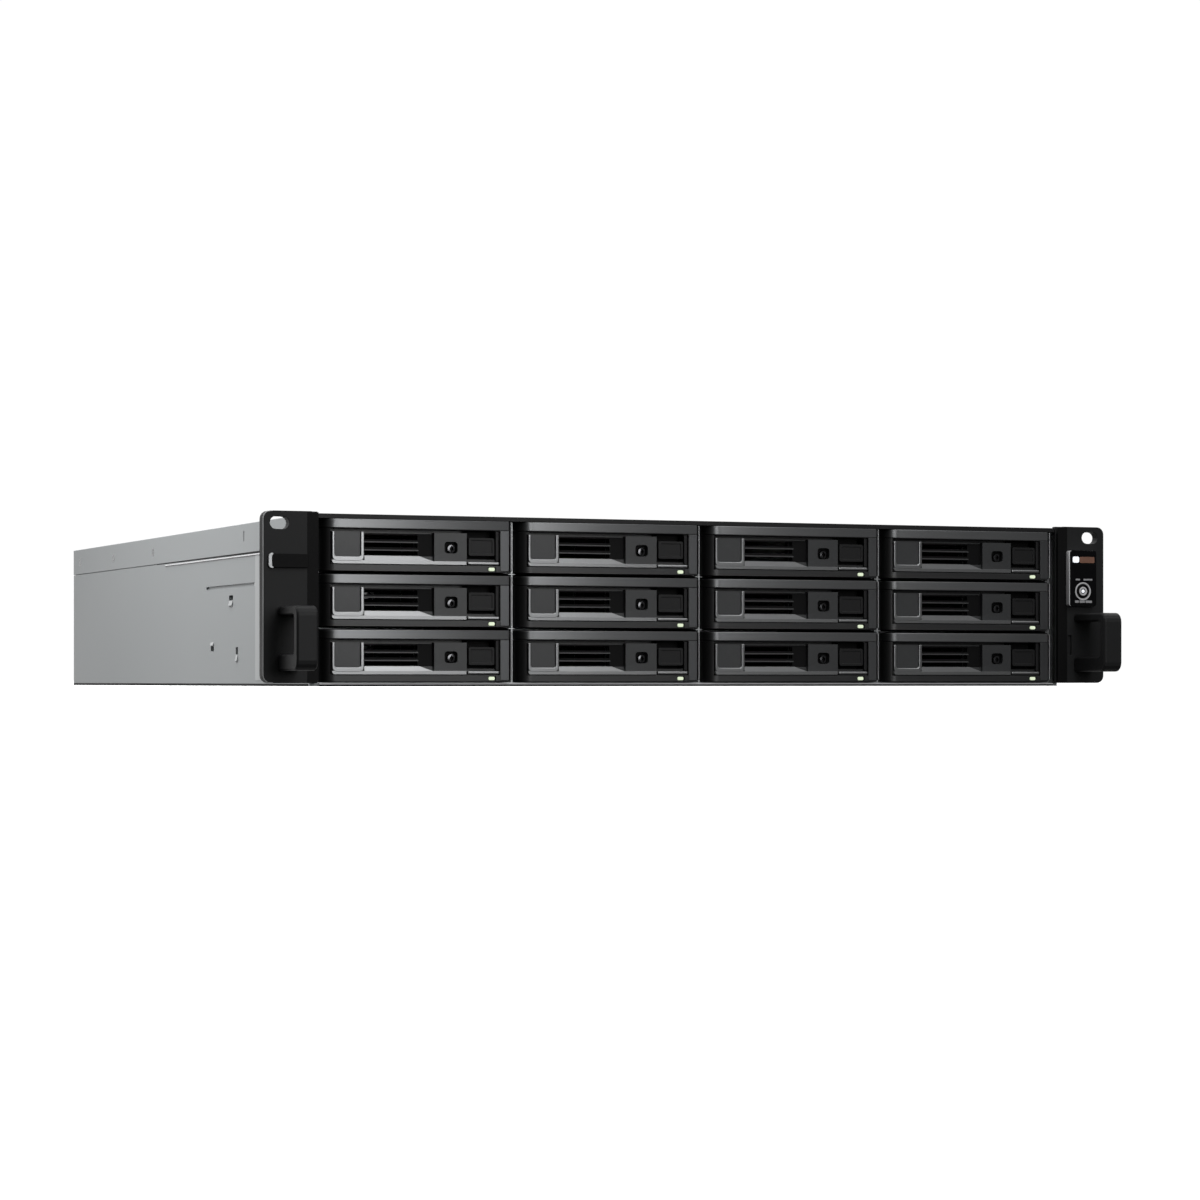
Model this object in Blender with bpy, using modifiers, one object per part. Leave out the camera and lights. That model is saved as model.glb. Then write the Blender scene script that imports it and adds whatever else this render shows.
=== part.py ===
"""Two-unit rack storage enclosure: a sheet-metal chassis with a sliding cover, a four by three grid
of drive trays with swing levers and release buttons, rack ears with pull handles, and behind the
drives a backplane, three fans, a main board and two plug-in power supplies.

Lengths are in millimetres and are scaled to metres when a mesh is made. +Z is up, the front faces
-Y, and the origin is under the middle of the whole object, handles included.
"""

import math

import bmesh
import bpy
from mathutils import Matrix

MM = 0.001
GAP = 0.3

# Overall envelope.
HANDLE_FRONT_Y = -293.0
REAR_Y = 293.0
EAR_FRONT_Y = -259.0
EAR_THICK = 6.0
CHASSIS_FRONT_Y = EAR_FRONT_Y + EAR_THICK + GAP
CHASSIS_REAR_Y = 280.3
CHASSIS_HALF_W = 215.25
CHASSIS_TOP = 86.1
COVER_TOP = 87.4

# Sheet thicknesses.
FLOOR_T = 1.0
SIDE_INNER = 213.0
JOGGLE_X = 213.95
JOGGLE_Z = 71.2
COVER_FLANGE_T = 1.0
COVER_FLANGE_Z = 71.5
REAR_WALL_Y = 279.1

# Drive bays.
COLUMNS = 4
ROWS = 3
COLUMN_PITCH = 105.6
ROW_PITCH = 28.1
ROW_BASE_Z = 1.9
BEZEL_FRONT_Y = -257.0
TRAY_LENGTH = 185.0

# Drive tray, measured from the middle of its own front at the bay's base.
BEZEL_X = (-52.0, 50.8)
BEZEL_Z = (0.5, 26.9)
BEZEL_DEPTH = 12.0
CARRIER_HALF_W = 51.9
CARRIER_WALL = 1.0
CARRIER_TOP = 22.0
LEVER_POCKET_X = (-46.4, 26.0)
LEVER_POCKET_Z = (3.8, 21.9)
LEVER_POCKET_DEPTH = 8.5
LEVER_Z = (4.1, 20.6)
BUTTON_POCKET_X = (26.8, 41.8)
BUTTON_POCKET_Z = (8.6, 18.5)
BUTTON_POCKET_DEPTH = 10.5
HINGE_X = -44.0
HINGE_Y = 2.4
LEVER_ROUND = 2.2
LEVER_BACK = 5.0

# Rack ears, handles and control panel.
EAR_OUTER_X = 241.3
EAR_INNER_X = 215.6
EAR_STRIP_X = 212.0
EAR_Z = (1.6, 88.2)
RACK_SLOT_X = 232.55
RACK_SLOT_Z = 82.2
HANDLE_X = 228.0
HANDLE_HALF_W = 5.5
HANDLE_Z = (7.8, 40.0)
HANDLE_WINDOW_Z = (16.0, 35.4)
HANDLE_BAR = 6.0
PANEL_X = (217.6, 234.8)
PANEL_Z = (44.2, 74.9)
PANEL_PROUD = 3.5
POWER_X = 226.3
POWER_Z = 52.4
POWER_R = 3.8

# Inside.
BACKPLANE_Y = -64.0
FAN_X = (-142.0, 0.0, 142.0)
FAN_Z = 43.4
FAN_Y = (-48.0, -23.0)
FAN_SIZE = 80.0
BOARD_TOP = 9.6
PSU_X = (132.8, 206.8)
PSU_Y = (92.0, 280.3)
PSU_LEVELS = ((1.4, 40.9), (42.7, 82.2))

LIGHT_METAL = (0.60, 0.62, 0.63)
CHARCOAL = (0.045, 0.046, 0.048)
BLACK = (0.015, 0.015, 0.016)

for old in list(bpy.data.objects):
    bpy.data.objects.remove(old, do_unlink=True)

parts = bpy.data.collections.new("rack_storage_enclosure")
helpers = bpy.data.collections.new("cutters")
bpy.context.scene.collection.children.link(parts)
bpy.context.scene.collection.children.link(helpers)


def box(lo, hi):
    """A closed box between two opposite corners."""
    size = [b - a for a, b in zip(lo, hi)]
    centre = [(a + b) / 2 for a, b in zip(lo, hi)]
    placing = Matrix.Translation(centre) @ Matrix.Diagonal((*size, 1.0))
    return lambda bm: bmesh.ops.create_cube(bm, size=1.0, matrix=placing)


def rod(centre, radius, length, axis="Y", sides=32):
    """A closed cylinder centred on a point, along the named axis."""
    turns = {"X": (90, "Y"), "Y": (90, "X"), "Z": (0, "Z")}
    angle, about = turns[axis]
    placing = Matrix.Translation(centre) @ Matrix.Rotation(math.radians(angle), 4, about)
    return lambda bm: bmesh.ops.create_cone(
        bm, cap_ends=True, segments=sides, radius1=radius, radius2=radius, depth=length, matrix=placing
    )


def prism(outline, plane, start, end):
    """A closed outline in the named plane, extruded along the remaining axis from start to end."""
    order = {"XZ": (0, 2, 1), "YZ": (1, 2, 0), "XY": (0, 1, 2)}[plane]

    def place(a, b, along):
        point = [0.0, 0.0, 0.0]
        for index, value in zip(order, (a, b, along)):
            point[index] = value
        return point

    def fill(bm):
        face = bm.faces.new([bm.verts.new(place(a, b, start)) for a, b in outline])
        grown = bmesh.ops.extrude_face_region(bm, geom=[face])["geom"]
        moved = [item for item in grown if isinstance(item, bmesh.types.BMVert)]
        bmesh.ops.translate(bm, vec=place(0.0, 0.0, end - start), verts=moved)

    return fill


def rounded(lo, hi, radii, steps=4):
    """A rectangle outline; radii are those of the corners from low-low, anticlockwise."""
    corners = (
        (lo[0], lo[1], 1, 1),
        (hi[0], lo[1], -1, 1),
        (hi[0], hi[1], -1, -1),
        (lo[0], hi[1], 1, -1),
    )
    outline = []
    for turn, ((x, y, sx, sy), radius) in enumerate(zip(corners, radii)):
        if radius <= 0:
            outline.append((x, y))
            continue
        for step in range(steps + 1):
            angle = math.radians(180 + 90 * turn + 90 * step / steps)
            cx = x + sx * radius
            cy = y + sy * radius
            outline.append((cx + radius * math.cos(angle), cy + radius * math.sin(angle)))
    return outline


def mesh_of(name, shapes):
    """One mesh, in metres, that holds every shape in the list."""
    bm = bmesh.new()
    for shape in shapes:
        shape(bm)
    bmesh.ops.recalc_face_normals(bm, faces=bm.faces)
    bmesh.ops.scale(bm, vec=(MM, MM, MM), verts=bm.verts)
    mesh = bpy.data.meshes.new(name)
    bm.to_mesh(mesh)
    bm.free()
    return mesh


def helper(name, shapes):
    """A hidden object for a Boolean to use."""
    obj = bpy.data.objects.new(name, mesh_of(name, shapes))
    obj.hide_render = True
    obj.display_type = "WIRE"
    helpers.objects.link(obj)
    return obj


def worked(name, shapes, steps):
    """An object with each step's shapes joined to it or cut from it, in order."""
    obj = bpy.data.objects.new(name, mesh_of(name, shapes))
    for number, (operation, others) in enumerate(steps):
        boolean = obj.modifiers.new(f"{operation}_{number}", "BOOLEAN")
        boolean.operation = {"cut": "DIFFERENCE", "add": "UNION"}[operation]
        boolean.solver = "EXACT"
        boolean.use_self = len(others) > 1 and operation == "add"
        boolean.object = helper(f"{name}_{operation}_{number}", others)
    return obj


def material(name, colour, roughness, metallic):
    made = bpy.data.materials.new(name)
    made.use_nodes = True
    shader = made.node_tree.nodes["Principled BSDF"]
    shader.inputs["Base Color"].default_value = (*colour, 1.0)
    shader.inputs["Roughness"].default_value = roughness
    shader.inputs["Metallic"].default_value = metallic
    return made


def finish(obj, colour, roughness, metallic):
    """Give a worked object its material and show it as a piece."""
    obj.data.materials.append(material(obj.name, colour, roughness, metallic))
    parts.objects.link(obj)
    return obj


def baked(name, shapes, steps, angle=35):
    """A mesh with every step applied, for pieces that are repeated."""
    pattern = worked(f"{name}_pattern", shapes, steps)
    pattern.hide_render = True
    helpers.objects.link(pattern)
    graph = bpy.context.evaluated_depsgraph_get()
    mesh = bpy.data.meshes.new_from_object(pattern.evaluated_get(graph))
    mesh.name = name
    mesh.shade_smooth()
    mesh.set_sharp_from_angle(angle=math.radians(angle))
    return mesh


def placed(name, mesh, at, colour, roughness, metallic):
    """A copy of a baked mesh with its origin at a point."""
    obj = bpy.data.objects.new(name, mesh.copy())
    obj.location = [value * MM for value in at]
    obj.data.materials.clear()
    return finish(obj, colour, roughness, metallic)


def mirrored_boxes(x, y, z):
    """The same box on both sides of the middle plane."""
    return [
        box((x[0], y[0], z[0]), (x[1], y[1], z[1])),
        box((-x[1], y[0], z[0]), (-x[0], y[1], z[1])),
    ]


# ---------------------------------------------------------------- chassis and cover

PSU_WALL_X = (131.4, 132.4)
SHELF_Z = (41.3, 42.3)
PORTS_X = (-190.0, -92.0)
PORTS_Z = (10.0, 26.0)
PORTS_CUT = ((-200.0, -82.0), (5.0, 33.0))
PORTS_FLANGE = 2.5
SLOT_X = (-28.0, -14.0)
BEAD_Y = (-238.0, -52.0)
BEAD_Z = (53.2, 55.2)
BEAD_DEPTH = 0.9
VENT_COUNT = 11
FRONT_HEM = [(-256.0, 0.0), (-250.0, 0.0), (-250.0, 0.9), (-255.4, 0.9), (-255.4, 1.5), (-256.0, 1.5)]

bead = rounded((BEAD_Y[0], BEAD_Z[0]), (BEAD_Y[1], BEAD_Z[1]), (0.9, 0.9, 0.9, 0.9), 3)
bead_floor = CHASSIS_HALF_W - BEAD_DEPTH
SIDE_HOLES = (
    ((-108.0, -100.0), (46.6, 49.4)),
    ((-68.2, -61.8), (19.1, 21.9)),
    ((-118.2, -113.8), (17.0, 21.0)),
)
side_holes = [cutter for y, z in SIDE_HOLES for cutter in mirrored_boxes((211.0, 218.0), y, z)]
vents = [box((-192.0 + 11.0 * i, 275.0, 38.0), (-187.5 + 11.0 * i, 285.0, 74.0)) for i in range(VENT_COUNT)]
psu_doors = [
    box((PSU_X[0] - GAP, 275.0, level[0] - GAP), (PSU_X[1] + GAP, 285.0, level[1] + GAP)) for level in PSU_LEVELS
]

finish(
    worked(
        "chassis_base",
        [box((-CHASSIS_HALF_W, CHASSIS_FRONT_Y, 0.0), (CHASSIS_HALF_W, CHASSIS_REAR_Y, CHASSIS_TOP))],
        [
            ("cut", [box((-SIDE_INNER, -300.0, FLOOR_T), (SIDE_INNER, REAR_WALL_Y, 120.0))]),
            ("cut", mirrored_boxes((JOGGLE_X, 230.0), (-300.0, 300.0), (JOGGLE_Z, 120.0))),
            ("cut", [prism(bead, "YZ", bead_floor, 230.0), prism(bead, "YZ", -230.0, -bead_floor)]),
            ("add", [prism(FRONT_HEM, "YZ", -210.9, 210.9)]),
            (
                "add",
                [
                    box((PSU_WALL_X[0], 90.0, 0.5), (PSU_WALL_X[1], 279.7, 84.0)),
                    box((PSU_WALL_X[0] + 0.5, 90.0, SHELF_Z[0]), (213.6, 279.7, SHELF_Z[1])),
                ],
            ),
            ("cut", side_holes),
            (
                "cut",
                [
                    *psu_doors,
                    *vents,
                    box((PORTS_CUT[0][0], 275.0, PORTS_CUT[1][0]), (PORTS_CUT[0][1], 285.0, PORTS_CUT[1][1])),
                    box((SLOT_X[0], 275.0, 16.0), (SLOT_X[1], 285.0, 74.0)),
                ],
            ),
        ],
    ),
    LIGHT_METAL, 0.38, 0.85,
)

finish(
    worked(
        "top_cover",
        [box((-CHASSIS_HALF_W, -256.0, COVER_FLANGE_Z), (CHASSIS_HALF_W, 281.0, COVER_TOP))],
        [
            (
                "cut",
                [
                    box(
                        (-CHASSIS_HALF_W + COVER_FLANGE_T, -254.8, 60.0),
                        (CHASSIS_HALF_W - COVER_FLANGE_T, 300.0, COVER_TOP - 1.0),
                    )
                ],
            ),
            ("cut", [box((-230.0, -300.0, 60.0), (230.0, -254.0, 85.5))]),
            ("cut", mirrored_boxes((EAR_STRIP_X - 0.4, 230.0), (-300.0, CHASSIS_FRONT_Y), (60.0, 120.0))),
            ("cut", mirrored_boxes((212.0, 218.0), (-130.6, -129.4), (78.0, 83.4))),
        ],
    ),
    LIGHT_METAL, 0.38, 0.85,
)

# ---------------------------------------------------------------- drive cage

CAGE_WALL = 1.0
LEDGE_REACH = 1.4
CAGE_FLOOR_Z = (1.3, 2.1)
CAGE_TOP = 85.0


def cage_outline():
    """Floor with five upright walls; ledges under each row carry the trays."""
    half = COLUMNS * COLUMN_PITCH / 2
    walls = [-half + COLUMN_PITCH * i for i in range(COLUMNS + 1)]
    spans = [(x - CAGE_WALL / 2, x + CAGE_WALL / 2) for x in walls]
    ledges = [(ROW_BASE_Z + ROW_PITCH * row - 0.4, ROW_BASE_Z + ROW_PITCH * row + 0.2) for row in range(1, ROWS)]
    outline = [(spans[0][0], CAGE_FLOOR_Z[0]), (spans[-1][1], CAGE_FLOOR_Z[0]), (spans[-1][1], CAGE_TOP)]
    for number in range(COLUMNS, -1, -1):
        left, right = spans[number]
        if number < COLUMNS:
            for low, high in ledges:
                outline += [(right, low), (right + LEDGE_REACH, low), (right + LEDGE_REACH, high), (right, high)]
            outline.append((right, CAGE_TOP))
        if number > 0:
            outline.append((left, CAGE_TOP))
            for low, high in reversed(ledges):
                outline += [(left, high), (left - LEDGE_REACH, high), (left - LEDGE_REACH, low), (left, low)]
            outline += [(left, CAGE_FLOOR_Z[1]), (spans[number - 1][1], CAGE_FLOOR_Z[1])]
    outline.append((spans[0][0], CAGE_TOP))
    return outline


finish(
    worked("drive_cage", [prism(cage_outline(), "XZ", -250.0, -70.0)], []),
    LIGHT_METAL, 0.35, 0.9,
)

# ---------------------------------------------------------------- drive trays, levers and buttons

tray_mesh = baked(
    "tray",
    [box((BEZEL_X[0], 0.0, BEZEL_Z[0]), (BEZEL_X[1], BEZEL_DEPTH, BEZEL_Z[1]))],
    [
        (
            "cut",
            [
                box(
                    (LEVER_POCKET_X[0], -5.0, LEVER_POCKET_Z[0]),
                    (LEVER_POCKET_X[1], LEVER_POCKET_DEPTH, LEVER_POCKET_Z[1]),
                ),
                box(
                    (BUTTON_POCKET_X[0], -5.0, BUTTON_POCKET_Z[0]),
                    (BUTTON_POCKET_X[1], BUTTON_POCKET_DEPTH, BUTTON_POCKET_Z[1]),
                ),
            ],
        ),
        (
            "add",
            [
                box((-CARRIER_HALF_W, 11.0, 0.55), (CARRIER_HALF_W, TRAY_LENGTH, 1.35)),
                box((-CARRIER_HALF_W, 11.0, 0.8), (-CARRIER_HALF_W + CARRIER_WALL, TRAY_LENGTH, CARRIER_TOP)),
                box((CARRIER_HALF_W - CARRIER_WALL, 11.0, 0.8), (CARRIER_HALF_W, TRAY_LENGTH, CARRIER_TOP)),
            ],
        ),
        (
            "cut",
            [
                box((-28.0, -5.0, 7.5), (0.0, 20.0, 19.5)),
                box((-38.0, 40.0, -3.0), (38.0, 105.0, 4.0)),
                box((-38.0, 118.0, -3.0), (38.0, 168.0, 4.0)),
            ],
        ),
    ],
)


def lever_outline():
    """Plan of the lever about its hinge: a straight bar whose front left corner is round."""
    outline = [(-LEVER_ROUND, LEVER_BACK)]
    for step in range(6):
        angle = math.radians(180 + 90 * step / 5)
        outline.append((LEVER_ROUND * math.cos(angle), LEVER_ROUND * math.sin(angle)))
    end = LEVER_POCKET_X[1] - 0.4 - HINGE_X
    return [*outline, (end - 0.6, -LEVER_ROUND), (end, -LEVER_ROUND + 0.6), (end, LEVER_BACK)]


KEY_X = 61.6
KEY_Z = 13.0
KEY_R = 3.3

lever_mesh = baked(
    "lever",
    [prism(lever_outline(), "XY", *LEVER_Z)],
    [
        (
            "cut",
            [
                box((15.6, -9.0, 8.6), (52.0, 0.6, 19.4)),
                box((52.6, -9.0, 6.6), (90.0, -1.4, 30.0)),
                rod((KEY_X, -1.0, KEY_Z), KEY_R, 5.0, "Y", 20),
            ],
        ),
        ("cut", [box((16.6, -9.0, 9.6 + 3.4 * i), (43.6, 9.0, 11.2 + 3.4 * i)) for i in range(3)]),
    ],
)
BUTTON_X = sum(BUTTON_POCKET_X) / 2
button_mesh = baked(
    "button",
    [
        prism(
            rounded(
                (-7.2, BUTTON_POCKET_Z[0] + GAP), (7.2, BUTTON_POCKET_Z[1] - GAP), (0.8, 0.8, 0.8, 0.8), 2
            ),
            "XZ", 1.0, 7.5,
        )
    ],
    [],
)

for column in range(COLUMNS):
    for row in range(ROWS):
        mark = f"{column + 1}{ROWS - row}"
        centre_x = (column - (COLUMNS - 1) / 2) * COLUMN_PITCH
        base_z = ROW_BASE_Z + ROW_PITCH * row
        placed(f"tray_{mark}", tray_mesh, (centre_x, BEZEL_FRONT_Y, base_z), CHARCOAL, 0.42, 0.0)
        placed(
            f"lever_{mark}", lever_mesh, (centre_x + HINGE_X, BEZEL_FRONT_Y + HINGE_Y, base_z), CHARCOAL, 0.36, 0.0
        )
        placed(f"release_{mark}", button_mesh, (centre_x + BUTTON_X, BEZEL_FRONT_Y, base_z), BLACK, 0.45, 0.0)

# ---------------------------------------------------------------- ears, handles and control panel

for side, label in ((-1, "left"), (1, "right")):

    def across(a, b, at=side):
        """Two distances from the middle, in ascending X on this side."""
        return sorted((at * a, at * b))

    plate_x = across(EAR_INNER_X, EAR_OUTER_X)
    strip_x = across(EAR_STRIP_X, EAR_INNER_X + 0.6)
    flange_x = across(EAR_INNER_X, EAR_INNER_X + 1.6)
    slot_x = across(RACK_SLOT_X - 5.0, RACK_SLOT_X + 5.0)
    corner = 4.0
    radii = (corner, 0, 0, corner) if side < 0 else (0, corner, corner, 0)
    slot = rounded((slot_x[0], RACK_SLOT_Z - 3.25), (slot_x[1], RACK_SLOT_Z + 3.25), (3.2, 3.2, 3.2, 3.2))
    pocket_x = across(PANEL_X[0] - GAP, PANEL_X[1] + GAP)
    cuts = [prism(slot, "XZ", -280.0, -240.0)]
    if side > 0:
        cuts.append(box((pocket_x[0], -280.0, PANEL_Z[0] - GAP), (pocket_x[1], -257.0, PANEL_Z[1] + GAP)))
        cuts.append(box((218.6, -280.0, 17.0), (221.0, -257.6, 28.0)))
    finish(
        worked(
            f"{label}_ear",
            [
                prism(
                    rounded((plate_x[0], EAR_Z[0]), (plate_x[1], EAR_Z[1]), radii),
                    "XZ", EAR_FRONT_Y, EAR_FRONT_Y + EAR_THICK,
                )
            ],
            [
                (
                    "add",
                    [
                        box((strip_x[0], -256.4, EAR_Z[0]), (strip_x[1], -253.2, EAR_Z[1])),
                        box((flange_x[0], -255.0, 8.0), (flange_x[1], -205.0, 69.0)),
                    ],
                ),
                ("cut", cuts),
            ],
        ),
        CHARCOAL, 0.4, 0.1,
    )

    front = HANDLE_FRONT_Y
    base = EAR_FRONT_Y - GAP
    window = rounded(
        (front + HANDLE_BAR, HANDLE_WINDOW_Z[0]), (base + 5.0, HANDLE_WINDOW_Z[1]), (2.0, 0, 0, 2.0), 2
    )
    outside = rounded((front, HANDLE_Z[0]), (base, HANDLE_Z[1]), (5.0, 0, 0, 5.0))
    handle = worked(
        f"{label}_handle",
        [prism(outside, "YZ", side * HANDLE_X - HANDLE_HALF_W, side * HANDLE_X + HANDLE_HALF_W)],
        [("cut", [prism(window, "YZ", side * HANDLE_X - 20.0, side * HANDLE_X + 20.0)])],
    )
    bevel = handle.modifiers.new("soft_edges", "BEVEL")
    bevel.width = 1.0 * MM
    bevel.segments = 2
    bevel.limit_method = "ANGLE"
    bevel.angle_limit = math.radians(50)
    finish(handle, CHARCOAL, 0.45, 0.1)

panel_front = EAR_FRONT_Y - PANEL_PROUD
finish(
    worked(
        "control_panel",
        [
            prism(
                rounded((PANEL_X[0], PANEL_Z[0]), (PANEL_X[1], PANEL_Z[1]), (1.2, 1.2, 1.2, 1.2), 3),
                "XZ", panel_front, -257.3,
            )
        ],
        [
            ("cut", [rod((POWER_X, -260.0, POWER_Z), POWER_R + GAP, 20.0)]),
            ("cut", [box((PANEL_X[0] + 1.6, -280.0, 67.4), (PANEL_X[1] - 1.6, panel_front + 0.6, 72.4))]),
        ],
    ),
    BLACK, 0.12, 0.0,
)
power_mesh = baked("power_button_shape", [rod((0.0, 2.05, 0.0), POWER_R, 4.1, "Y", 32)], [])
placed("power_button", power_mesh, (POWER_X, panel_front - 0.4, POWER_Z), LIGHT_METAL, 0.3, 0.6)

# ---------------------------------------------------------------- backplane and fans

connectors = []
windows = []
for column in range(COLUMNS):
    centre_x = (column - (COLUMNS - 1) / 2) * COLUMN_PITCH
    for row in range(ROWS):
        base_z = ROW_BASE_Z + ROW_PITCH * row
        connectors.append(box((centre_x - 24.0, -69.0, base_z + 3.0), (centre_x + 20.0, -63.0, base_z + 9.0)))
        windows.append(box((centre_x - 38.0, -80.0, base_z + 13.0), (centre_x + 38.0, -50.0, base_z + 23.0)))
finish(
    worked(
        "backplane",
        [box((-208.0, BACKPLANE_Y, 3.0), (208.0, BACKPLANE_Y + 1.6, 84.0))],
        [("add", connectors), ("cut", windows)],
    ),
    (0.02, 0.09, 0.05), 0.5, 0.0,
)

half_fan = FAN_SIZE / 2
fan_frame_mesh = baked(
    "fan_frame",
    [
        prism(
            rounded((-half_fan, -half_fan), (half_fan, half_fan), (4.0, 4.0, 4.0, 4.0), 3),
            "XZ", FAN_Y[0], FAN_Y[1],
        )
    ],
    [
        ("cut", [rod((0.0, -35.0, 0.0), 38.2, 60.0, "Y", 48)]),
        (
            "add",
            [
                rod((0.0, -24.9, 0.0), 17.0, 3.0, "Y", 32),
                box((-39.2, -26.3, -2.0), (39.2, -23.6, 2.0)),
                box((-2.0, -26.2, -39.2), (2.0, -23.7, 39.2)),
            ],
        ),
        (
            "cut",
            [rod((x, -35.0, z), 2.2, 60.0, "Y", 12) for x in (-35.75, 35.75) for z in (-35.75, 35.75)],
        ),
    ],
)


def blade(angle):
    """One pitched fan blade, from inside the hub out to the tip."""
    placing = (
        Matrix.Rotation(angle, 4, "Y")
        @ Matrix.Translation((24.0, -37.0, 0.0))
        @ Matrix.Rotation(math.radians(38), 4, "X")
        @ Matrix.Diagonal((25.0, 20.0, 1.6, 1.0))
    )
    return lambda bm: bmesh.ops.create_cube(bm, size=1.0, matrix=placing)


BLADES = 7
rotor_mesh = baked(
    "fan_rotor",
    [rod((0.0, -36.8, 0.0), 16.0, 20.0, "Y", 32)],
    [("add", [blade(2 * math.pi * i / BLADES) for i in range(BLADES)])],
)
for number, fan_x in enumerate(FAN_X, 1):
    placed(f"fan_frame_{number}", fan_frame_mesh, (fan_x, 0.0, FAN_Z), BLACK, 0.5, 0.0)
    placed(f"fan_rotor_{number}", rotor_mesh, (fan_x, 0.0, FAN_Z), BLACK, 0.4, 0.0)

# ---------------------------------------------------------------- main board, heat sink and rear ports

sockets = [box((20.0 + 11.0 * i, 40.0, 9.0), (27.0 + 11.0 * i, 180.0, 17.0)) for i in range(4)]
finish(
    worked(
        "main_board",
        [box((-202.0, -5.0, 8.0), (118.0, 261.5, BOARD_TOP))],
        [
            (
                "add",
                [
                    *sockets,
                    box((-64.0, 82.0, 9.0), (-16.0, 130.0, 12.6)),
                    box((-160.0, 60.0, 9.0), (-132.0, 88.0, 12.0)),
                    box((84.0, 8.0, 9.0), (112.0, 30.0, 22.0)),
                    box((-26.0, 200.0, 9.0), (-19.0, 258.0, 20.0)),
                    box((-198.0, 6.0, 9.0), (-150.0, 18.0, 18.0)),
                ],
            )
        ],
    ),
    (0.02, 0.10, 0.06), 0.5, 0.0,
)

FINS = 15
FIN_PITCH = 6.4
sink_left = -40.0 - FIN_PITCH * (FINS - 1) / 2
sink_outline = [(sink_left - 1.0, 13.0), (sink_left + FIN_PITCH * (FINS - 1) + 1.0, 13.0)]
for fin in range(FINS - 1, -1, -1):
    fin_x = sink_left + FIN_PITCH * fin
    if fin < FINS - 1:
        sink_outline.append((fin_x + 1.0, 18.0))
    sink_outline += [(fin_x + 1.0, 58.0), (fin_x - 1.0, 58.0)]
    if fin > 0:
        sink_outline.append((fin_x - 1.0, 18.0))
finish(worked("heat_sink", [prism(sink_outline, "XZ", 60.0, 152.0)], []), (0.75, 0.76, 0.77), 0.3, 1.0)

RJ45_X = [-181.0 + 17.5 * i for i in range(4)]
USB_X = -104.0
USB_LEVELS = (11.6, 19.0)
port_cuts = [box((x - 6.0, 268.0, 12.6), (x + 6.0, 290.0, 20.8)) for x in RJ45_X]
port_cuts += [box((USB_X - 6.7, 268.0, z), (USB_X + 6.7, 290.0, z + 5.2)) for z in USB_LEVELS]
port_flange = box(
    (PORTS_CUT[0][0] - PORTS_FLANGE, CHASSIS_REAR_Y + GAP, PORTS_CUT[1][0] - PORTS_FLANGE),
    (PORTS_CUT[0][1] + PORTS_FLANGE, 281.4, PORTS_CUT[1][1] + PORTS_FLANGE),
)
finish(
    worked(
        "rear_ports",
        [box((PORTS_X[0], 262.0, PORTS_Z[0]), (PORTS_X[1], 281.4, PORTS_Z[1]))],
        [("add", [port_flange]), ("cut", port_cuts)],
    ),
    (0.5, 0.5, 0.5), 0.3, 0.9,
)

bracket_outline = [(277.8, 12.0), (278.8, 12.0), (278.8, 80.0), (268.0, 80.0), (268.0, 79.0), (277.8, 79.0)]
finish(
    worked("slot_bracket", [prism(bracket_outline, "YZ", SLOT_X[0] - 3.0, SLOT_X[1] + 3.0)], []),
    (0.7, 0.7, 0.7), 0.3, 0.9,
)

# ---------------------------------------------------------------- power supplies

INLET_X = 150.5
GRILLE_X = 185.6
PULL_X = (165.6, 169.6)
PULL_ROOT_Y = 278.0
PULL_BAR = 3.4

for number, (low, high) in enumerate(PSU_LEVELS, 1):
    middle = (low + high) / 2
    pull = [
        (PULL_ROOT_Y, middle - 15.0), (REAR_Y, middle - 15.0),
        (REAR_Y, middle + 15.0), (PULL_ROOT_Y, middle + 15.0),
        (PULL_ROOT_Y, middle + 11.5), (REAR_Y - PULL_BAR, middle + 11.5),
        (REAR_Y - PULL_BAR, middle - 11.5), (PULL_ROOT_Y, middle - 11.5),
    ]
    finish(
        worked(
            f"power_supply_{number}",
            [box((PSU_X[0], PSU_Y[0], low), (PSU_X[1], PSU_Y[1], high))],
            [
                ("add", [prism(pull, "YZ", *PULL_X)]),
                (
                    "cut",
                    [
                        box((INLET_X - 12.2, 266.0, middle - 8.2), (INLET_X + 12.2, 290.0, middle + 8.2)),
                        rod((GRILLE_X, 280.3, middle), 13.8, 3.0, "Y", 32),
                        box((203.2 - 3.0, 270.0, middle - 3.0), (206.5, 290.0, middle + 3.0)),
                    ],
                ),
            ],
        ),
        (0.55, 0.56, 0.57), 0.35, 0.9,
    )
    finish(
        worked(
            f"supply_latch_{number}",
            [box((203.5, 272.0, middle - 2.7), (206.2, 284.0, middle + 2.7))],
            [("add", [box((203.3, 281.0, middle - 7.0), (206.4, 288.0, middle + 7.0))])],
        ),
        (0.25, 0.02, 0.03), 0.4, 0.0,
    )
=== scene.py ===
"""Looks of the two-unit rack storage enclosure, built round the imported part.

Shapes are written in millimetres and scaled when a mesh is made. The front faces -Y and +Z is up.
"""

import math

import bmesh
import bpy
from mathutils import Matrix, Vector


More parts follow.
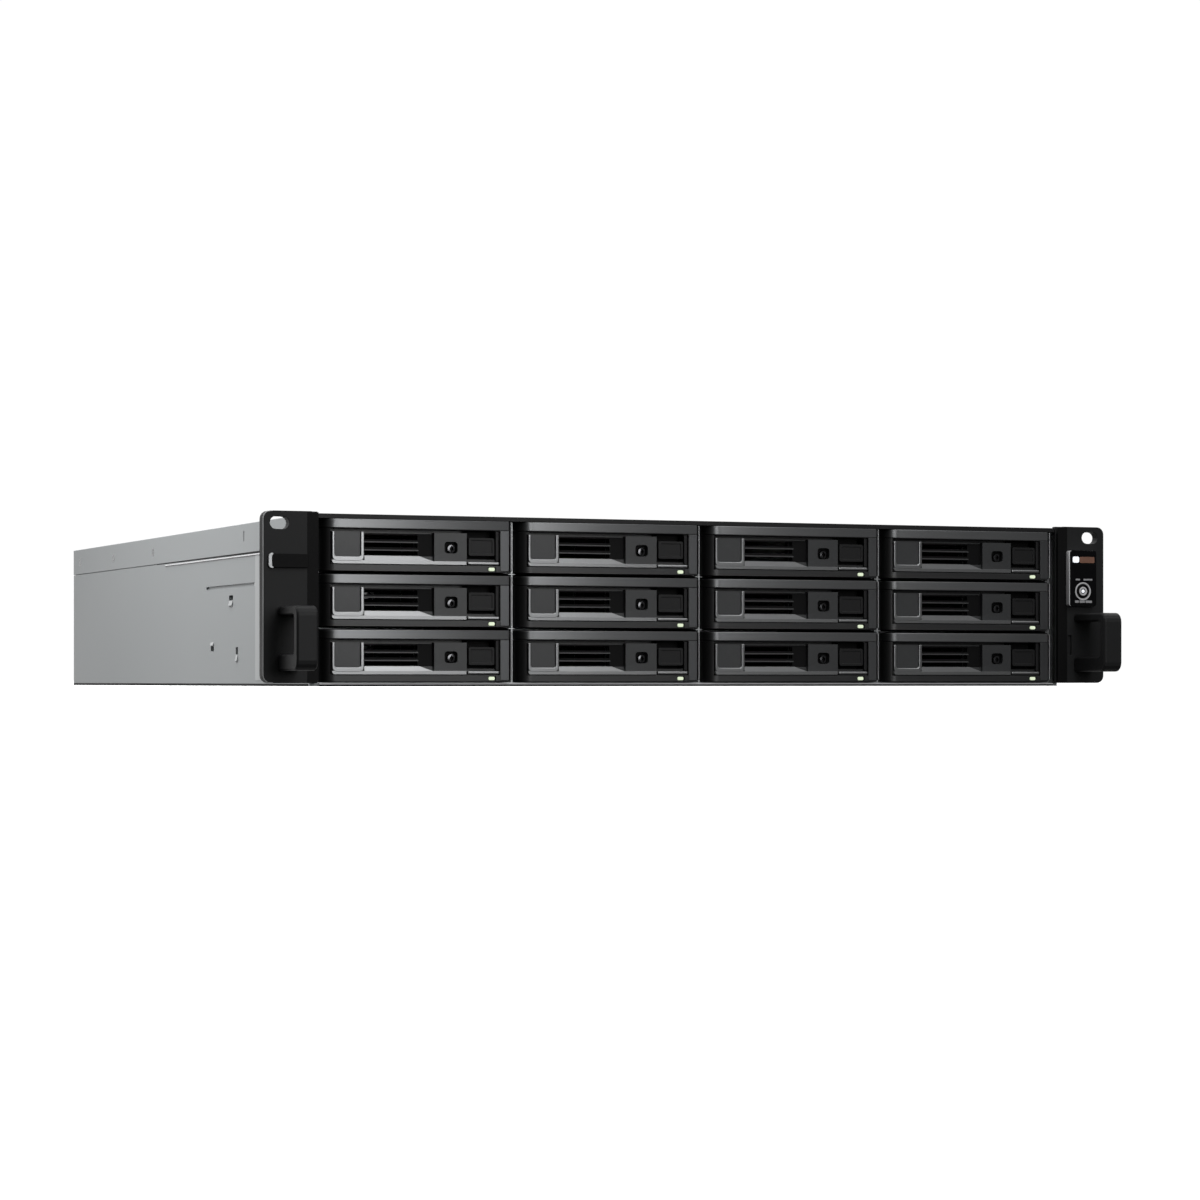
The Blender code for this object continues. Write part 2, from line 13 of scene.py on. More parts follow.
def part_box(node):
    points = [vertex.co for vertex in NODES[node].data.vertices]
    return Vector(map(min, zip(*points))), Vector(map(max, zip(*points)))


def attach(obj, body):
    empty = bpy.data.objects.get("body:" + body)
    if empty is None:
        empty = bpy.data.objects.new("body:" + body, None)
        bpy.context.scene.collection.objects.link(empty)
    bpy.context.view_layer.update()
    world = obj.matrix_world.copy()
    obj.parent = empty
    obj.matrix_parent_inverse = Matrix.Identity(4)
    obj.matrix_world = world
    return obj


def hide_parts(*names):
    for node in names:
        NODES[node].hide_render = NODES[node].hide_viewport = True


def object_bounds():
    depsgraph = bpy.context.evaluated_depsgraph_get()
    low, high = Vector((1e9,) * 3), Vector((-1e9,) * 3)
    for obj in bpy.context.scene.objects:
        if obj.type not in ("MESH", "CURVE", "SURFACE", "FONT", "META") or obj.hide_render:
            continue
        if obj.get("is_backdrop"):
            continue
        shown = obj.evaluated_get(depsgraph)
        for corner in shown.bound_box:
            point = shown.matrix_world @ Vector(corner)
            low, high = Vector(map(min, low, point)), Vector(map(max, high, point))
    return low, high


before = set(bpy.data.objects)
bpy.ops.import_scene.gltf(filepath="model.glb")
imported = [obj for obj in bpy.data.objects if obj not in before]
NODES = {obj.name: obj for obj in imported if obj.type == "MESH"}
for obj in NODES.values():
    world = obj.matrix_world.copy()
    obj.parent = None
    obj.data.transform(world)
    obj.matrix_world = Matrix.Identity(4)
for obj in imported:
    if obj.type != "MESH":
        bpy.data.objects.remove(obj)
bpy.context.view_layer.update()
MM = 0.001


def node_box(node):
    """Lowest and highest corner of a CAD node, in millimetres."""
    low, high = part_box(node)
    return low / MM, high / MM


# ---------------------------------------------------------------- shapes


def box(lo, hi):
    """A closed box between two opposite corners."""
    size = [b - a for a, b in zip(lo, hi)]
    centre = [(a + b) / 2 for a, b in zip(lo, hi)]
    placing = Matrix.Translation(centre) @ Matrix.Diagonal((*size, 1.0))
    return lambda bm: bmesh.ops.create_cube(bm, size=1.0, matrix=placing)


def rod(centre, radius, length, axis="Y", sides=32):
    """A closed cylinder centred on a point, along the named axis."""
    angle, about = {"X": (90, "Y"), "Y": (90, "X"), "Z": (0, "Z")}[axis]
    placing = Matrix.Translation(centre) @ Matrix.Rotation(math.radians(angle), 4, about)
    return lambda bm: bmesh.ops.create_cone(
        bm, cap_ends=True, segments=sides, radius1=radius, radius2=radius, depth=length, matrix=placing
    )


def prism(outline, plane, start, end):
    """A closed outline in the named plane, extruded along the remaining axis from start to end."""
    order = {"XZ": (0, 2, 1), "YZ": (1, 2, 0), "XY": (0, 1, 2)}[plane]

    def place(a, b, along):
        point = [0.0, 0.0, 0.0]
        for index, value in zip(order, (a, b, along)):
            point[index] = value
        return point

    def fill(bm):
        face = bm.faces.new([bm.verts.new(place(a, b, start)) for a, b in outline])
        grown = bmesh.ops.extrude_face_region(bm, geom=[face])["geom"]
        moved = [item for item in grown if isinstance(item, bmesh.types.BMVert)]
        bmesh.ops.translate(bm, vec=place(0.0, 0.0, end - start), verts=moved)

    return fill


def wedge(points):
    """The convex solid that holds every point."""

    def fill(bm):
        made = [bm.verts.new(point) for point in points]
        bmesh.ops.convex_hull(bm, input=made, use_existing_faces=False)

    return fill


def rounded(lo, hi, radii, steps=4):
    """A rectangle outline; radii are those of the corners from low-low, anticlockwise."""
    corners = (
        (lo[0], lo[1], 1, 1),
        (hi[0], lo[1], -1, 1),
        (hi[0], hi[1], -1, -1),
        (lo[0], hi[1], 1, -1),
    )
    outline = []
    for turn, ((x, y, sx, sy), radius) in enumerate(zip(corners, radii)):
        if radius <= 0:
            outline.append((x, y))
            continue
        for step in range(steps + 1):
            angle = math.radians(180 + 90 * turn + 90 * step / steps)
            cx = x + sx * radius
            cy = y + sy * radius
            outline.append((cx + radius * math.cos(angle), cy + radius * math.sin(angle)))
    return outline


def skin(bm, rings, loop=False):
    """Faces from each ring of points to the next, with closed ends unless the last meets the first."""
    following = rings[1:] + rings[:1] if loop else rings[1:]
    for first, second in zip(rings, following):
        for side in range(len(first)):
            after = (side + 1) % len(first)
            bm.faces.new((first[side], first[after], second[after], second[side]))
    if not loop:
        bm.faces.new(rings[0][::-1])
        bm.faces.new(rings[-1])


def lathe(profile, centre, axis="Y", sides=40):
    """A closed loop of (radius, distance along the axis) points, turned about the axis.

    Nothing fills the middle, inside the smallest radius.
    """

    def fill(bm):
        rings = []
        for radius, along in profile:
            ring = []
            for side in range(sides):
                angle = 2 * math.pi * side / sides
                a = radius * math.cos(angle)
                b = radius * math.sin(angle)
                offset = {"Y": (a, along, b), "X": (along, a, b), "Z": (a, b, along)}[axis]
                ring.append(bm.verts.new([c + o for c, o in zip(centre, offset)]))
            rings.append(ring)
        skin(bm, rings, loop=True)

    return fill


def wire(points, radius, sides=10, steps=6):
    """A closed round wire through the points, with its corners curved."""
    path = [Vector(points[0])]
    for before, corner, after in zip(points, points[1:], points[2:]):
        a, b, c = Vector(before), Vector(corner), Vector(after)
        reach = min((a - b).length, (c - b).length, 10 * radius) * 0.45
        start = b + (a - b).normalized() * reach
        end = b + (c - b).normalized() * reach
        for step in range(steps + 1):
            t = step / steps
            path.append(start * (1 - t) ** 2 + b * 2 * t * (1 - t) + end * t**2)
    path.append(Vector(points[-1]))

    def fill(bm):
        rings = []
        up = None
        for index, at in enumerate(path):
            ahead = (path[min(index + 1, len(path) - 1)] - path[max(index - 1, 0)]).normalized()
            if up is None:
                up = ahead.orthogonal().normalized()
            up = (up - ahead * up.dot(ahead)).normalized()
            across = ahead.cross(up)
            rings.append([
                bm.verts.new(at + radius * (up * math.cos(turn) + across * math.sin(turn)))
                for turn in [2 * math.pi * side / sides for side in range(sides)]
            ])
        skin(bm, rings)

    return fill


def screw(at, axis, facing, radius=2.6, proud=0.45):
    """A low round head with a socket, standing on a face; facing is 1 or -1 along the axis."""
    rim = [
        (radius, -0.3 * facing), (radius, 0.55 * proud * facing), (0.85 * radius, proud * facing),
        (0.45 * radius, proud * facing), (0.42 * radius, -0.1 * facing), (0.05, -0.15 * facing),
    ]
    return lathe(rim, at, axis, 24)


def raw_mesh(name, shapes):
    """One mesh, in metres, that holds every shape in the list."""
    bm = bmesh.new()
    for shape in shapes:
        shape(bm)
    bmesh.ops.recalc_face_normals(bm, faces=bm.faces)
    bmesh.ops.scale(bm, vec=(MM, MM, MM), verts=bm.verts)
    mesh = bpy.data.meshes.new(name)
    bm.to_mesh(mesh)
    bm.free()
    mesh.shade_smooth()
    return mesh


def shaped(name, shapes, steps=(), bevel=0.0, segments=2, limit=35):
    """A finished mesh: the shapes, then each cut or join in order, then rounded edges."""
    obj = bpy.data.objects.new(name, raw_mesh(name, shapes))
    bpy.context.scene.collection.objects.link(obj)
    used = [obj]
    for operation, others in steps:
        for shape in others:
            other = bpy.data.objects.new(name, raw_mesh(name, [shape]))
            bpy.context.scene.collection.objects.link(other)
            used.append(other)
            boolean = obj.modifiers.new(operation, "BOOLEAN")
            boolean.operation = {"cut": "DIFFERENCE", "add": "UNION"}[operation]
            boolean.solver = "EXACT"
            boolean.object = other
    if bevel:
        round_edges(obj, bevel, segments, limit)
    graph = bpy.context.evaluated_depsgraph_get()
    mesh = bpy.data.meshes.new_from_object(obj.evaluated_get(graph))
    mesh.name = name
    if not bevel:
        mesh.set_sharp_from_angle(angle=math.radians(30))
    for item in used:
        bpy.data.objects.remove(item, do_unlink=True)
    return mesh


def round_edges(obj, width, segments=2, limit=35):
    """A bevel on the sharp edges, with shading that keeps the flats flat."""
    bevel = obj.modifiers.new("rounded_edges", "BEVEL")
    bevel.width = width * MM
    bevel.segments = segments
    bevel.limit_method = "ANGLE"
    bevel.angle_limit = math.radians(limit)
    bevel.harden_normals = True
    bevel.use_clamp_overlap = True


def soften(node, width, segments=2, limit=35):
    """Rounded edges on a CAD node, whose split corners are joined first."""
    obj = NODES[node]
    weld = obj.modifiers.new("joined_corners", "WELD")
    weld.merge_threshold = 0.00002
    round_edges(obj, width, segments, limit)


def piece(name, mesh, at, body, mat, replaced=()):
    """A shown piece that rides on a body."""
    obj = bpy.data.objects.new(name, mesh)
    obj.location = [value * MM for value in at]
    bpy.context.scene.collection.objects.link(obj)
    if not mesh.materials:
        mesh.materials.append(mat)
    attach(obj, body)
    if replaced:
        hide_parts(*replaced)
    return obj


# ---------------------------------------------------------------- materials


def grained(
    name, colour, rough, metallic=0.0, spread=0.08, grain=900.0, bump=0.12, depth=0.00005,
    patches=14.0, stretch=(1.0, 1.0, 1.0), wear=0.0, specular=0.5, painted_shade_span=None,
):
    """A finish with a fine grain, slow colour drift, uneven gloss and, if asked, paler worn edges.

    With a span of painted shade set, the finish darkens to the left between two distances, in metres, along
    its piece, as painted shade on its rounded left end.
    """
    made = bpy.data.materials.new(name)
    made.use_nodes = True
    tree = made.node_tree
    links = tree.links
    shader = tree.nodes["Principled BSDF"]
    shader.inputs["Metallic"].default_value = metallic
    shader.inputs["Specular IOR Level"].default_value = specular
    place = tree.nodes.new("ShaderNodeTexCoord")
    turned = tree.nodes.new("ShaderNodeMapping")
    turned.inputs["Scale"].default_value = stretch
    links.new(place.outputs["Object"], turned.inputs["Vector"])

    drift = tree.nodes.new("ShaderNodeTexNoise")
    drift.inputs["Scale"].default_value = patches
    drift.inputs["Detail"].default_value = 4.0
    links.new(place.outputs["Object"], drift.inputs["Vector"])
    fine = tree.nodes.new("ShaderNodeTexNoise")
    fine.inputs["Scale"].default_value = grain
    fine.inputs["Detail"].default_value = 3.0
    links.new(turned.outputs["Vector"], fine.inputs["Vector"])

    low = [max(0.0, value * (1 - spread)) for value in colour]
    high = [min(1.0, value * (1 + spread)) for value in colour]
    tint = tree.nodes.new("ShaderNodeValToRGB")
    tint.color_ramp.elements[0].position = 0.3
    tint.color_ramp.elements[0].color = (*low, 1.0)
    tint.color_ramp.elements[1].position = 0.7
    tint.color_ramp.elements[1].color = (*high, 1.0)
    both = tree.nodes.new("ShaderNodeMath")
    both.operation = "MULTIPLY_ADD"
    both.inputs[1].default_value = 0.4
    links.new(fine.outputs["Fac"], both.inputs[0])
    part = tree.nodes.new("ShaderNodeMath")
    part.operation = "MULTIPLY"
    part.inputs[1].default_value = 0.6
    links.new(drift.outputs["Fac"], part.inputs[0])
    links.new(part.outputs["Value"], both.inputs[2])
    links.new(both.outputs["Value"], tint.inputs["Fac"])
    colour_out = tint.outputs["Color"]

    if wear:
        shape = tree.nodes.new("ShaderNodeNewGeometry")
        edge = tree.nodes.new("ShaderNodeMapRange")
        edge.inputs["From Min"].default_value = 0.53
        edge.inputs["From Max"].default_value = 0.62
        edge.inputs["To Max"].default_value = wear
        links.new(shape.outputs["Pointiness"], edge.inputs["Value"])
        worn = tree.nodes.new("ShaderNodeMix")
        worn.data_type = "RGBA"
        worn.inputs["B"].default_value = (*[min(1.0, value * 2.2 + 0.03) for value in colour], 1.0)
        links.new(edge.outputs["Result"], worn.inputs["Factor"])
        links.new(colour_out, worn.inputs["A"])
        colour_out = worn.outputs["Result"]
    # Painted shade: the colour darkens towards the piece's left end, where the light does not reach.
    if painted_shade_span:
        across = tree.nodes.new("ShaderNodeSeparateXYZ")
        links.new(place.outputs["Object"], across.inputs["Vector"])
        reach = tree.nodes.new("ShaderNodeMapRange")
        reach.interpolation_type = "SMOOTHSTEP"
        reach.inputs["From Min"].default_value, reach.inputs["From Max"].default_value = painted_shade_span
        links.new(across.outputs["X"], reach.inputs["Value"])
        painted_shade_mix = tree.nodes.new("ShaderNodeMix")
        painted_shade_mix.data_type = "RGBA"
        painted_shade_mix.inputs["A"].default_value = (*[value * 0.12 for value in colour], 1.0)
        links.new(reach.outputs["Result"], painted_shade_mix.inputs["Factor"])
        links.new(colour_out, painted_shade_mix.inputs["B"])
        colour_out = painted_shade_mix.outputs["Result"]
    links.new(colour_out, shader.inputs["Base Color"])

    gloss = tree.nodes.new("ShaderNodeMapRange")
    gloss.inputs["From Min"].default_value = 0.3
    gloss.inputs["From Max"].default_value = 0.7
    gloss.inputs["To Min"].default_value = rough[0]
    gloss.inputs["To Max"].default_value = rough[1]
    links.new(both.outputs["Value"], gloss.inputs["Value"])
    links.new(gloss.outputs["Result"], shader.inputs["Roughness"])

    if bump:
        relief = tree.nodes.new("ShaderNodeBump")
        relief.inputs["Strength"].default_value = bump
        relief.inputs["Distance"].default_value = depth
        links.new(fine.outputs["Fac"], relief.inputs["Height"])
        links.new(relief.outputs["Normal"], shader.inputs["Normal"])
    return made


def glowing(name, colour, strength):
    """A lit lens: slightly mottled, with light of its own."""
    made = grained(name, colour, (0.15, 0.3), spread=0.05, grain=400.0, bump=0.05)
    shader = made.node_tree.nodes["Principled BSDF"]
    shader.inputs["Emission Color"].default_value = (*colour, 1.0)
    shader.inputs["Emission Strength"].default_value = strength
    return made


ZINC_PAINT = grained("zinc_paint", (0.40, 0.42, 0.427), (0.42, 0.54), metallic=0.15, spread=0.04,
                     grain=1600.0, bump=0.06, depth=0.00003, patches=5.0)
COVER_PAINT = grained("cover_paint", (0.41, 0.43, 0.437), (0.42, 0.54), metallic=0.15, spread=0.04,
                      grain=1600.0, bump=0.06, depth=0.00003, patches=5.0)
# A paler copy of the zinc paint: painted highlight on the side tabs and the front fold. The cover grip and
# its ribs take it too.
PALER_ZINC_HIGHLIGHT = grained("paler_zinc_painted_highlight", (0.48, 0.495, 0.50), (0.36, 0.46), metallic=0.15, spread=0.04,
                    grain=1600.0, bump=0.06, depth=0.00003, patches=9.0)
BARE_STEEL = grained("bare_steel", (0.36, 0.37, 0.375), (0.34, 0.44), metallic=0.85, spread=0.05,
                     grain=900.0, bump=0.05, depth=0.00003, patches=16.0)
SUPPLY_STEEL = grained("supply_steel", (0.33, 0.335, 0.34), (0.36, 0.46), metallic=0.8, spread=0.05,
                       grain=1200.0, bump=0.06, depth=0.00003, patches=12.0)
BRIGHT_STEEL = grained("bright_steel", (0.46, 0.465, 0.47), (0.3, 0.4), metallic=0.9, spread=0.05,
                       grain=1200.0, bump=0.04, depth=0.00003)
# The bezel charcoal carries painted shade on each tray's rounded left end.
CHARCOAL = grained("charcoal_satin", (0.0125, 0.0128, 0.0135), (0.32, 0.44), spread=0.1, grain=1400.0,
                   bump=0.08, depth=0.00003, wear=0.1, painted_shade_span=(-0.0505, -0.0435))
LEVER_GREY = grained("lever_grey", (0.024, 0.0252, 0.0265), (0.36, 0.48), spread=0.08, grain=1400.0,
                     bump=0.08, depth=0.00003, wear=0.1)
RAIL_METAL = grained("satin_rail", (0.25, 0.254, 0.258), (0.26, 0.36), metallic=0.9, spread=0.06,
                     grain=1200.0, bump=0.05, depth=0.00003)
# The dark top rail carries painted shade on each tray's rounded left end.
TOP_RAIL_METAL = grained("dark_satin_rail", (0.19, 0.194, 0.198), (0.32, 0.42), metallic=0.85, spread=0.06,
                         grain=1200.0, bump=0.05, depth=0.00003, painted_shade_span=(-0.0505, -0.0415))
SIDE_RAIL_METAL = grained("side_satin_rail", (0.085, 0.087, 0.09), (0.32, 0.42), metallic=0.8, spread=0.06,
                          grain=1200.0, bump=0.05, depth=0.00003)
POWDER = grained("charcoal_powder", (0.0145, 0.0148, 0.0153), (0.42, 0.56), spread=0.14, grain=1500.0,
                 bump=0.25, depth=0.00006, wear=0.05, specular=0.16)
# Black for black parts, and also painted shade: black liners, strips and wedges in recesses, holes, seams and
# along the base.
BLACK_AND_PAINTED_SHADE = grained("black_and_painted_shade", (0.002, 0.002, 0.0022), (0.5, 0.62), spread=0.2, grain=900.0,
                     bump=0.1, specular=0.12)
BLACK_SATIN = grained("black_satin", (0.004, 0.004, 0.0045), (0.42, 0.56), spread=0.2, grain=1500.0,
                      bump=0.15, specular=0.3)
GLOSS_BLACK = grained("gloss_black", (0.003, 0.003, 0.0035), (0.12, 0.2), spread=0.2, grain=500.0,
                      bump=0.01, specular=0.15)
PLASTIC_BLACK = grained("moulded_black", (0.016, 0.016, 0.018), (0.45, 0.6), spread=0.15,
                        grain=1100.0, bump=0.2)
PALE_GREY = grained("pale_grey_plastic", (0.55, 0.55, 0.56), (0.3, 0.42), spread=0.06, grain=1200.0,
                    bump=0.08)
BOARD = grained("board_green", (0.012, 0.060, 0.028), (0.3, 0.45), spread=0.3, grain=350.0, bump=0.2,
                patches=40.0)
ALUMINIUM = grained("plain_aluminium", (0.74, 0.75, 0.76), (0.24, 0.36), metallic=1.0, spread=0.06,
                    grain=600.0, bump=0.08, stretch=(1.0, 0.05, 1.0))
DARK_RED = grained("latch_red", (0.22, 0.012, 0.018), (0.35, 0.48), spread=0.12, grain=1000.0, bump=0.12)

PLAIN_FINISHES = {
    "chassis_base": (ZINC_PAINT, 0.35),
    "top_cover": (COVER_PAINT, 0.35),
    "drive_cage": (BARE_STEEL, 0.1),
    "left_ear": (POWDER, 0.9),
    "right_ear": (POWDER, 0.9),
    "left_handle": (POWDER, 0.6),
    "right_handle": (POWDER, 0.6),
    "backplane": (BOARD, 0.1),
    "fan_frame_1": (PLASTIC_BLACK, 0.4),
    "fan_frame_2": (PLASTIC_BLACK, 0.4),
    "fan_frame_3": (PLASTIC_BLACK, 0.4),
    "fan_rotor_1": (BLACK_SATIN, 0.3),
    "fan_rotor_2": (BLACK_SATIN, 0.3),
    "fan_rotor_3": (BLACK_SATIN, 0.3),
    "main_board": (BOARD, 0.2),
    "heat_sink": (ALUMINIUM, 0.15),
    "rear_ports": (BRIGHT_STEEL, 0.2),
    "slot_bracket": (BRIGHT_STEEL, 0.15),
    "power_supply_1": (SUPPLY_STEEL, 0.35),
    "power_supply_2": (SUPPLY_STEEL, 0.35),
    "supply_latch_1": (DARK_RED, 0.4),
    "supply_latch_2": (DARK_RED, 0.4),
}
for node, (finish, edge) in PLAIN_FINISHES.items():
    NODES[node].data.materials.clear()
    NODES[node].data.materials.append(finish)
    soften(node, edge)

# ---------------------------------------------------------------- drive trays

COLUMNS = 4
ROWS = 3
TRAY_CENTRES = {}
for column in range(COLUMNS):
    for row in range(ROWS):
        mark = f"{column + 1}{row + 1}"
        low, high = node_box(f"tray_{mark}")
        TRAY_CENTRES[mark] = ((low.x + high.x) / 2, low.y, low.z - 0.5)

BEZEL_ROUND = 8.0
bezel_plan = [
    (-52.0, 12.0),
    *[
        (-44.0 - BEZEL_ROUND * math.cos(math.radians(a)), 8.0 - BEZEL_ROUND * math.sin(math.radians(a)))
        for a in range(0, 91, 6)
    ],
    (48.4, 0.0), (49.0, 0.25), (49.2, 0.8), (49.2, 12.0),
]

bezel_mesh = shaped(
    "tray_bezel",
    [prism(bezel_plan, "XY", 0.5, 21.95)],
    [
        ("cut", [box((-46.9, -5.0, 3.7), (43.9, 2.4, 30.0)), box((-46.9, -5.0, 3.7), (26.4, 8.6, 30.0))]),
        ("cut", [box((26.3, -5.0, 7.2), (41.7, 10.5, 30.0)), box((-28.0, -5.0, 7.5), (0.0, 20.0, 19.5))]),
        ("cut", [box((37.2, -5.0, 0.9), (41.7, 1.2, 3.3))]),
    ],
    bevel=0.3, segments=3,
)
top_rail_mesh = shaped("top_rail", [prism(bezel_plan, "XY", 21.98, 26.9)], bevel=1.3, segments=6)
side_rail_mesh = shaped(
    "side_rail",
    [prism(rounded((44.1, 1.2), (48.7, 21.9), (0.4, 0.8, 0.1, 0.1)), "XZ", -0.15, 1.2)],
    bevel=0.35, segments=3,
)
side_lip_mesh = shaped("side_lip", [box((49.7, 0.35, 1.2), (50.7, 12.0, 26.6))], bevel=0.4, segments=3)

LEVER_FACE = 1.0
lever_mesh = shaped(
    "lever",
    [box((-46.1, LEVER_FACE, 4.3), (26.1, 7.2, 20.5))],
    [
        ("cut", [box((-28.9, -5.0, 8.3), (0.6, 20.0, 19.8)), box((0.5, -5.0, 8.3), (8.5, 4.6, 30.0))]),
        ("cut", [box((-29.0, -5.0, 5.4), (8.5, 2.9, 8.5))]),
        ("cut", [box((-28.9, -5.0, 19.0), (0.6, 3.4, 30.0))]),
        ("cut", [prism(rounded((14.1, 10.0), (21.1, 16.0), (1.6, 1.6, 1.6, 1.6)), "XZ", -5.0, 20.0)]),
    ],
    bevel=0.3, segments=2,
)
sill_mesh = shaped(
    "lever_sill",
    [wedge([
        (-29.0, 0.45, 5.7), (8.3, 0.45, 5.7), (-29.0, 0.95, 8.4), (0.6, 0.95, 8.4),
        (-29.0, 2.8, 5.7), (8.3, 2.8, 5.7), (-29.0, 2.8, 8.4), (0.6, 2.8, 8.4),
    ])],
    bevel=0.15, segments=2,
)
rail_mesh = shaped(
    "lever_rail",
    [prism(rounded((-46.1, 4.15), (25.7, 5.95), (1.4, 0.2, 0.2, 0.4)), "XZ", 0.15, 2.4)],
    bevel=0.7, segments=4,
)
fixed_rail_mesh = shaped(
    "lower_rail",
    [box((26.3, 0.15, 4.15), (43.7, 2.35, 5.95))],
    bevel=0.7, segments=4,
)


def rim_outline():
    """Front view of the raised rim: up the left, round the bottom and up the right."""
    outer = rounded((-46.2, 5.2), (-29.0, 20.5), (2.6, 2.6, 0, 0), 6)
    inner = rounded((-44.5, 7.9), (-31.1, 20.5), (1.0, 1.0, 0, 0), 4)
    low_left, low_right = outer[:7], outer[7:14]
    in_left, in_right = inner[:5], inner[5:10]
    return [
        (-46.2, 20.5), *low_left, *low_right, (-29.0, 20.5),
        (-31.1, 20.5), *reversed(in_right), *reversed(in_left), (-44.5, 20.5),
    ]


rim_mesh = shaped("lever_rim", [prism(rim_outline(), "XZ", 0.1, 1.6)], bevel=0.6, segments=4)
# The grille is black: painted shade behind the vents.
grille_mesh = shaped(
    "lever_grille",
    [box((-28.9, 3.4, 8.3), (8.4, 4.4, 19.8))],
    [("cut", [box((-28.3, 3.0, 8.9 + 3.9 * i), (0.2, 8.0, 11.2 + 3.9 * i)) for i in range(3)])],
    bevel=0.1, segments=1,
)
louvre_mesh = shaped(
    "lever_louvres",
    [
        wedge([
            (x, y, z + dz) for x in (-28.9, 0.2)
            for y, dz in ((1.5, 0.3), (1.6, 0.9), (3.6, 0.2), (3.6, 1.1))
        ])
        for z in (10.6, 14.7)
    ],
    bevel=0.12, segments=2,
)
lock_mesh = shaped(
    "lock_barrel",
    [lathe([(2.3, 5.0), (2.3, 3.1), (2.0, 2.8), (1.0, 2.7)], (18.4, 0.0, 12.5), sides=32)],
    [("cut", [box((18.1, -2.0, 11.0), (18.7, 3.8, 14.0))])],
    bevel=0.12, segments=2,
)
# A black backing in the keyhole: painted shade in the hole.
key_well_mesh = shaped(
    "key_well",
    [prism(rounded((13.9, 9.8), (21.3, 16.2), (1.6, 1.6, 1.6, 1.6)), "XZ", 4.2, 5.2)],
    bevel=0.1, segments=1,
)
button_mesh = shaped(
    "release_button",
    [prism(rounded((27.1, 8.9), (41.2, 18.2), (0.9, 0.9, 0.9, 0.9)), "XZ", 1.0, 6.4)],
    [("cut", [box((28.6, -5.0, 10.2), (39.9, 1.35, 16.9))])],
    bevel=0.3, segments=3,
)
# A black liner round the release button: painted shade in its recess.
well_mesh = shaped(
    "button_well",
    [box((26.5, 1.6, 7.3), (41.6, 9.6, 21.8))],
    [("cut", [box((26.7, -5.0, 7.5), (41.5, 9.0, 21.7))])],
    bevel=0.1, segments=1,
)
# A black bar at the right end of the button recess.
bar_mesh = shaped(
    "recess_end_bar",
    [prism(rounded((41.75, 6.2), (43.6, 21.7), (0.5, 0.5, 0.3, 0.3)), "XZ", 0.9, 2.3)],
    bevel=0.3, segments=2,
)
lens_mesh = shaped(
    "drive_lamp",
    [prism(rounded((37.8, 1.2), (41.1, 3.0), (0.7, 0.7, 0.7, 0.7)), "XZ", 0.15, 1.1)],
    bevel=0.25, segments=2,
)
carrier_mesh = shaped(
    "carrier",
    [box((-51.9, 11.0, 0.55), (51.9, 185.0, 1.35))],
    [
        (
            "add",
            [
                box((-51.9, 12.1, 0.8), (-50.9, 185.0, 22.0)),
                box((50.9, 11.0, 0.8), (51.9, 185.0, 22.0)),
                box((49.8, 10.9, 1.3), (51.8, 11.9, 21.9)),
            ],
        ),
        (
            "cut",
            [
                box((-38.0, 40.0, -3.0), (38.0, 105.0, 4.0)),
                box((-38.0, 118.0, -3.0), (38.0, 168.0, 4.0)),
                *[rod((0.0, y, 7.5), 1.7, 120.0, "X", 16) for y in (41.3, 101.3, 142.5)],
            ],
        ),
    ],
    bevel=0.12, segments=1,
)
LAMP = glowing("drive_lamp", (0.72, 0.82, 0.60), 0.5)
DARK_CHROME = grained("lock_chrome", (0.10, 0.10, 0.105), (0.12, 0.24), metallic=1.0, spread=0.08,
                      grain=900.0, bump=0.03)

TRAY_PIECES = (
    ("bezel", bezel_mesh, "tray", CHARCOAL),
    ("carrier", carrier_mesh, "tray", BARE_STEEL),
    ("top_rail", top_rail_mesh, "tray", TOP_RAIL_METAL),
    ("side_lip", side_lip_mesh, "tray", RAIL_METAL),
    ("side_rail", side_rail_mesh, "tray", SIDE_RAIL_METAL),
    ("lower_rail", fixed_rail_mesh, "tray", RAIL_METAL),
    ("button_well", well_mesh, "tray", BLACK_AND_PAINTED_SHADE),
    ("recess_end_bar", bar_mesh, "tray", BLACK_SATIN),
    ("drive_lamp", lens_mesh, "tray", LAMP),
    ("lever_arm", lever_mesh, "lever", LEVER_GREY),
    ("lever_rim", rim_mesh, "lever", RAIL_METAL),
    ("lever_rail", rail_mesh, "lever", RAIL_METAL),
    ("lever_sill", sill_mesh, "lever", RAIL_METAL),
    ("lever_grille", grille_mesh, "lever", BLACK_AND_PAINTED_SHADE),
    ("lever_louvres", louvre_mesh, "lever", LEVER_GREY),
    ("key_well", key_well_mesh, "lever", BLACK_AND_PAINTED_SHADE),
    ("lock_barrel", lock_mesh, "lever", DARK_CHROME),
    ("button", button_mesh, "release", BLACK_SATIN),
)
STANDS_FOR = {"bezel": "tray", "lever_arm": "lever", "button": "release"}
for mark, at in TRAY_CENTRES.items():
    for label, mesh, part, finish in TRAY_PIECES:
        body = f"{part}_{mark}"
        replaced = [body] if label in STANDS_FOR else []
        piece(f"{label}_{mark}", mesh, at, body, finish, replaced)

# ---------------------------------------------------------------- ears and control panel

ear_low, ear_high = node_box("left_ear")
EAR_FACE_Y = ear_low.y

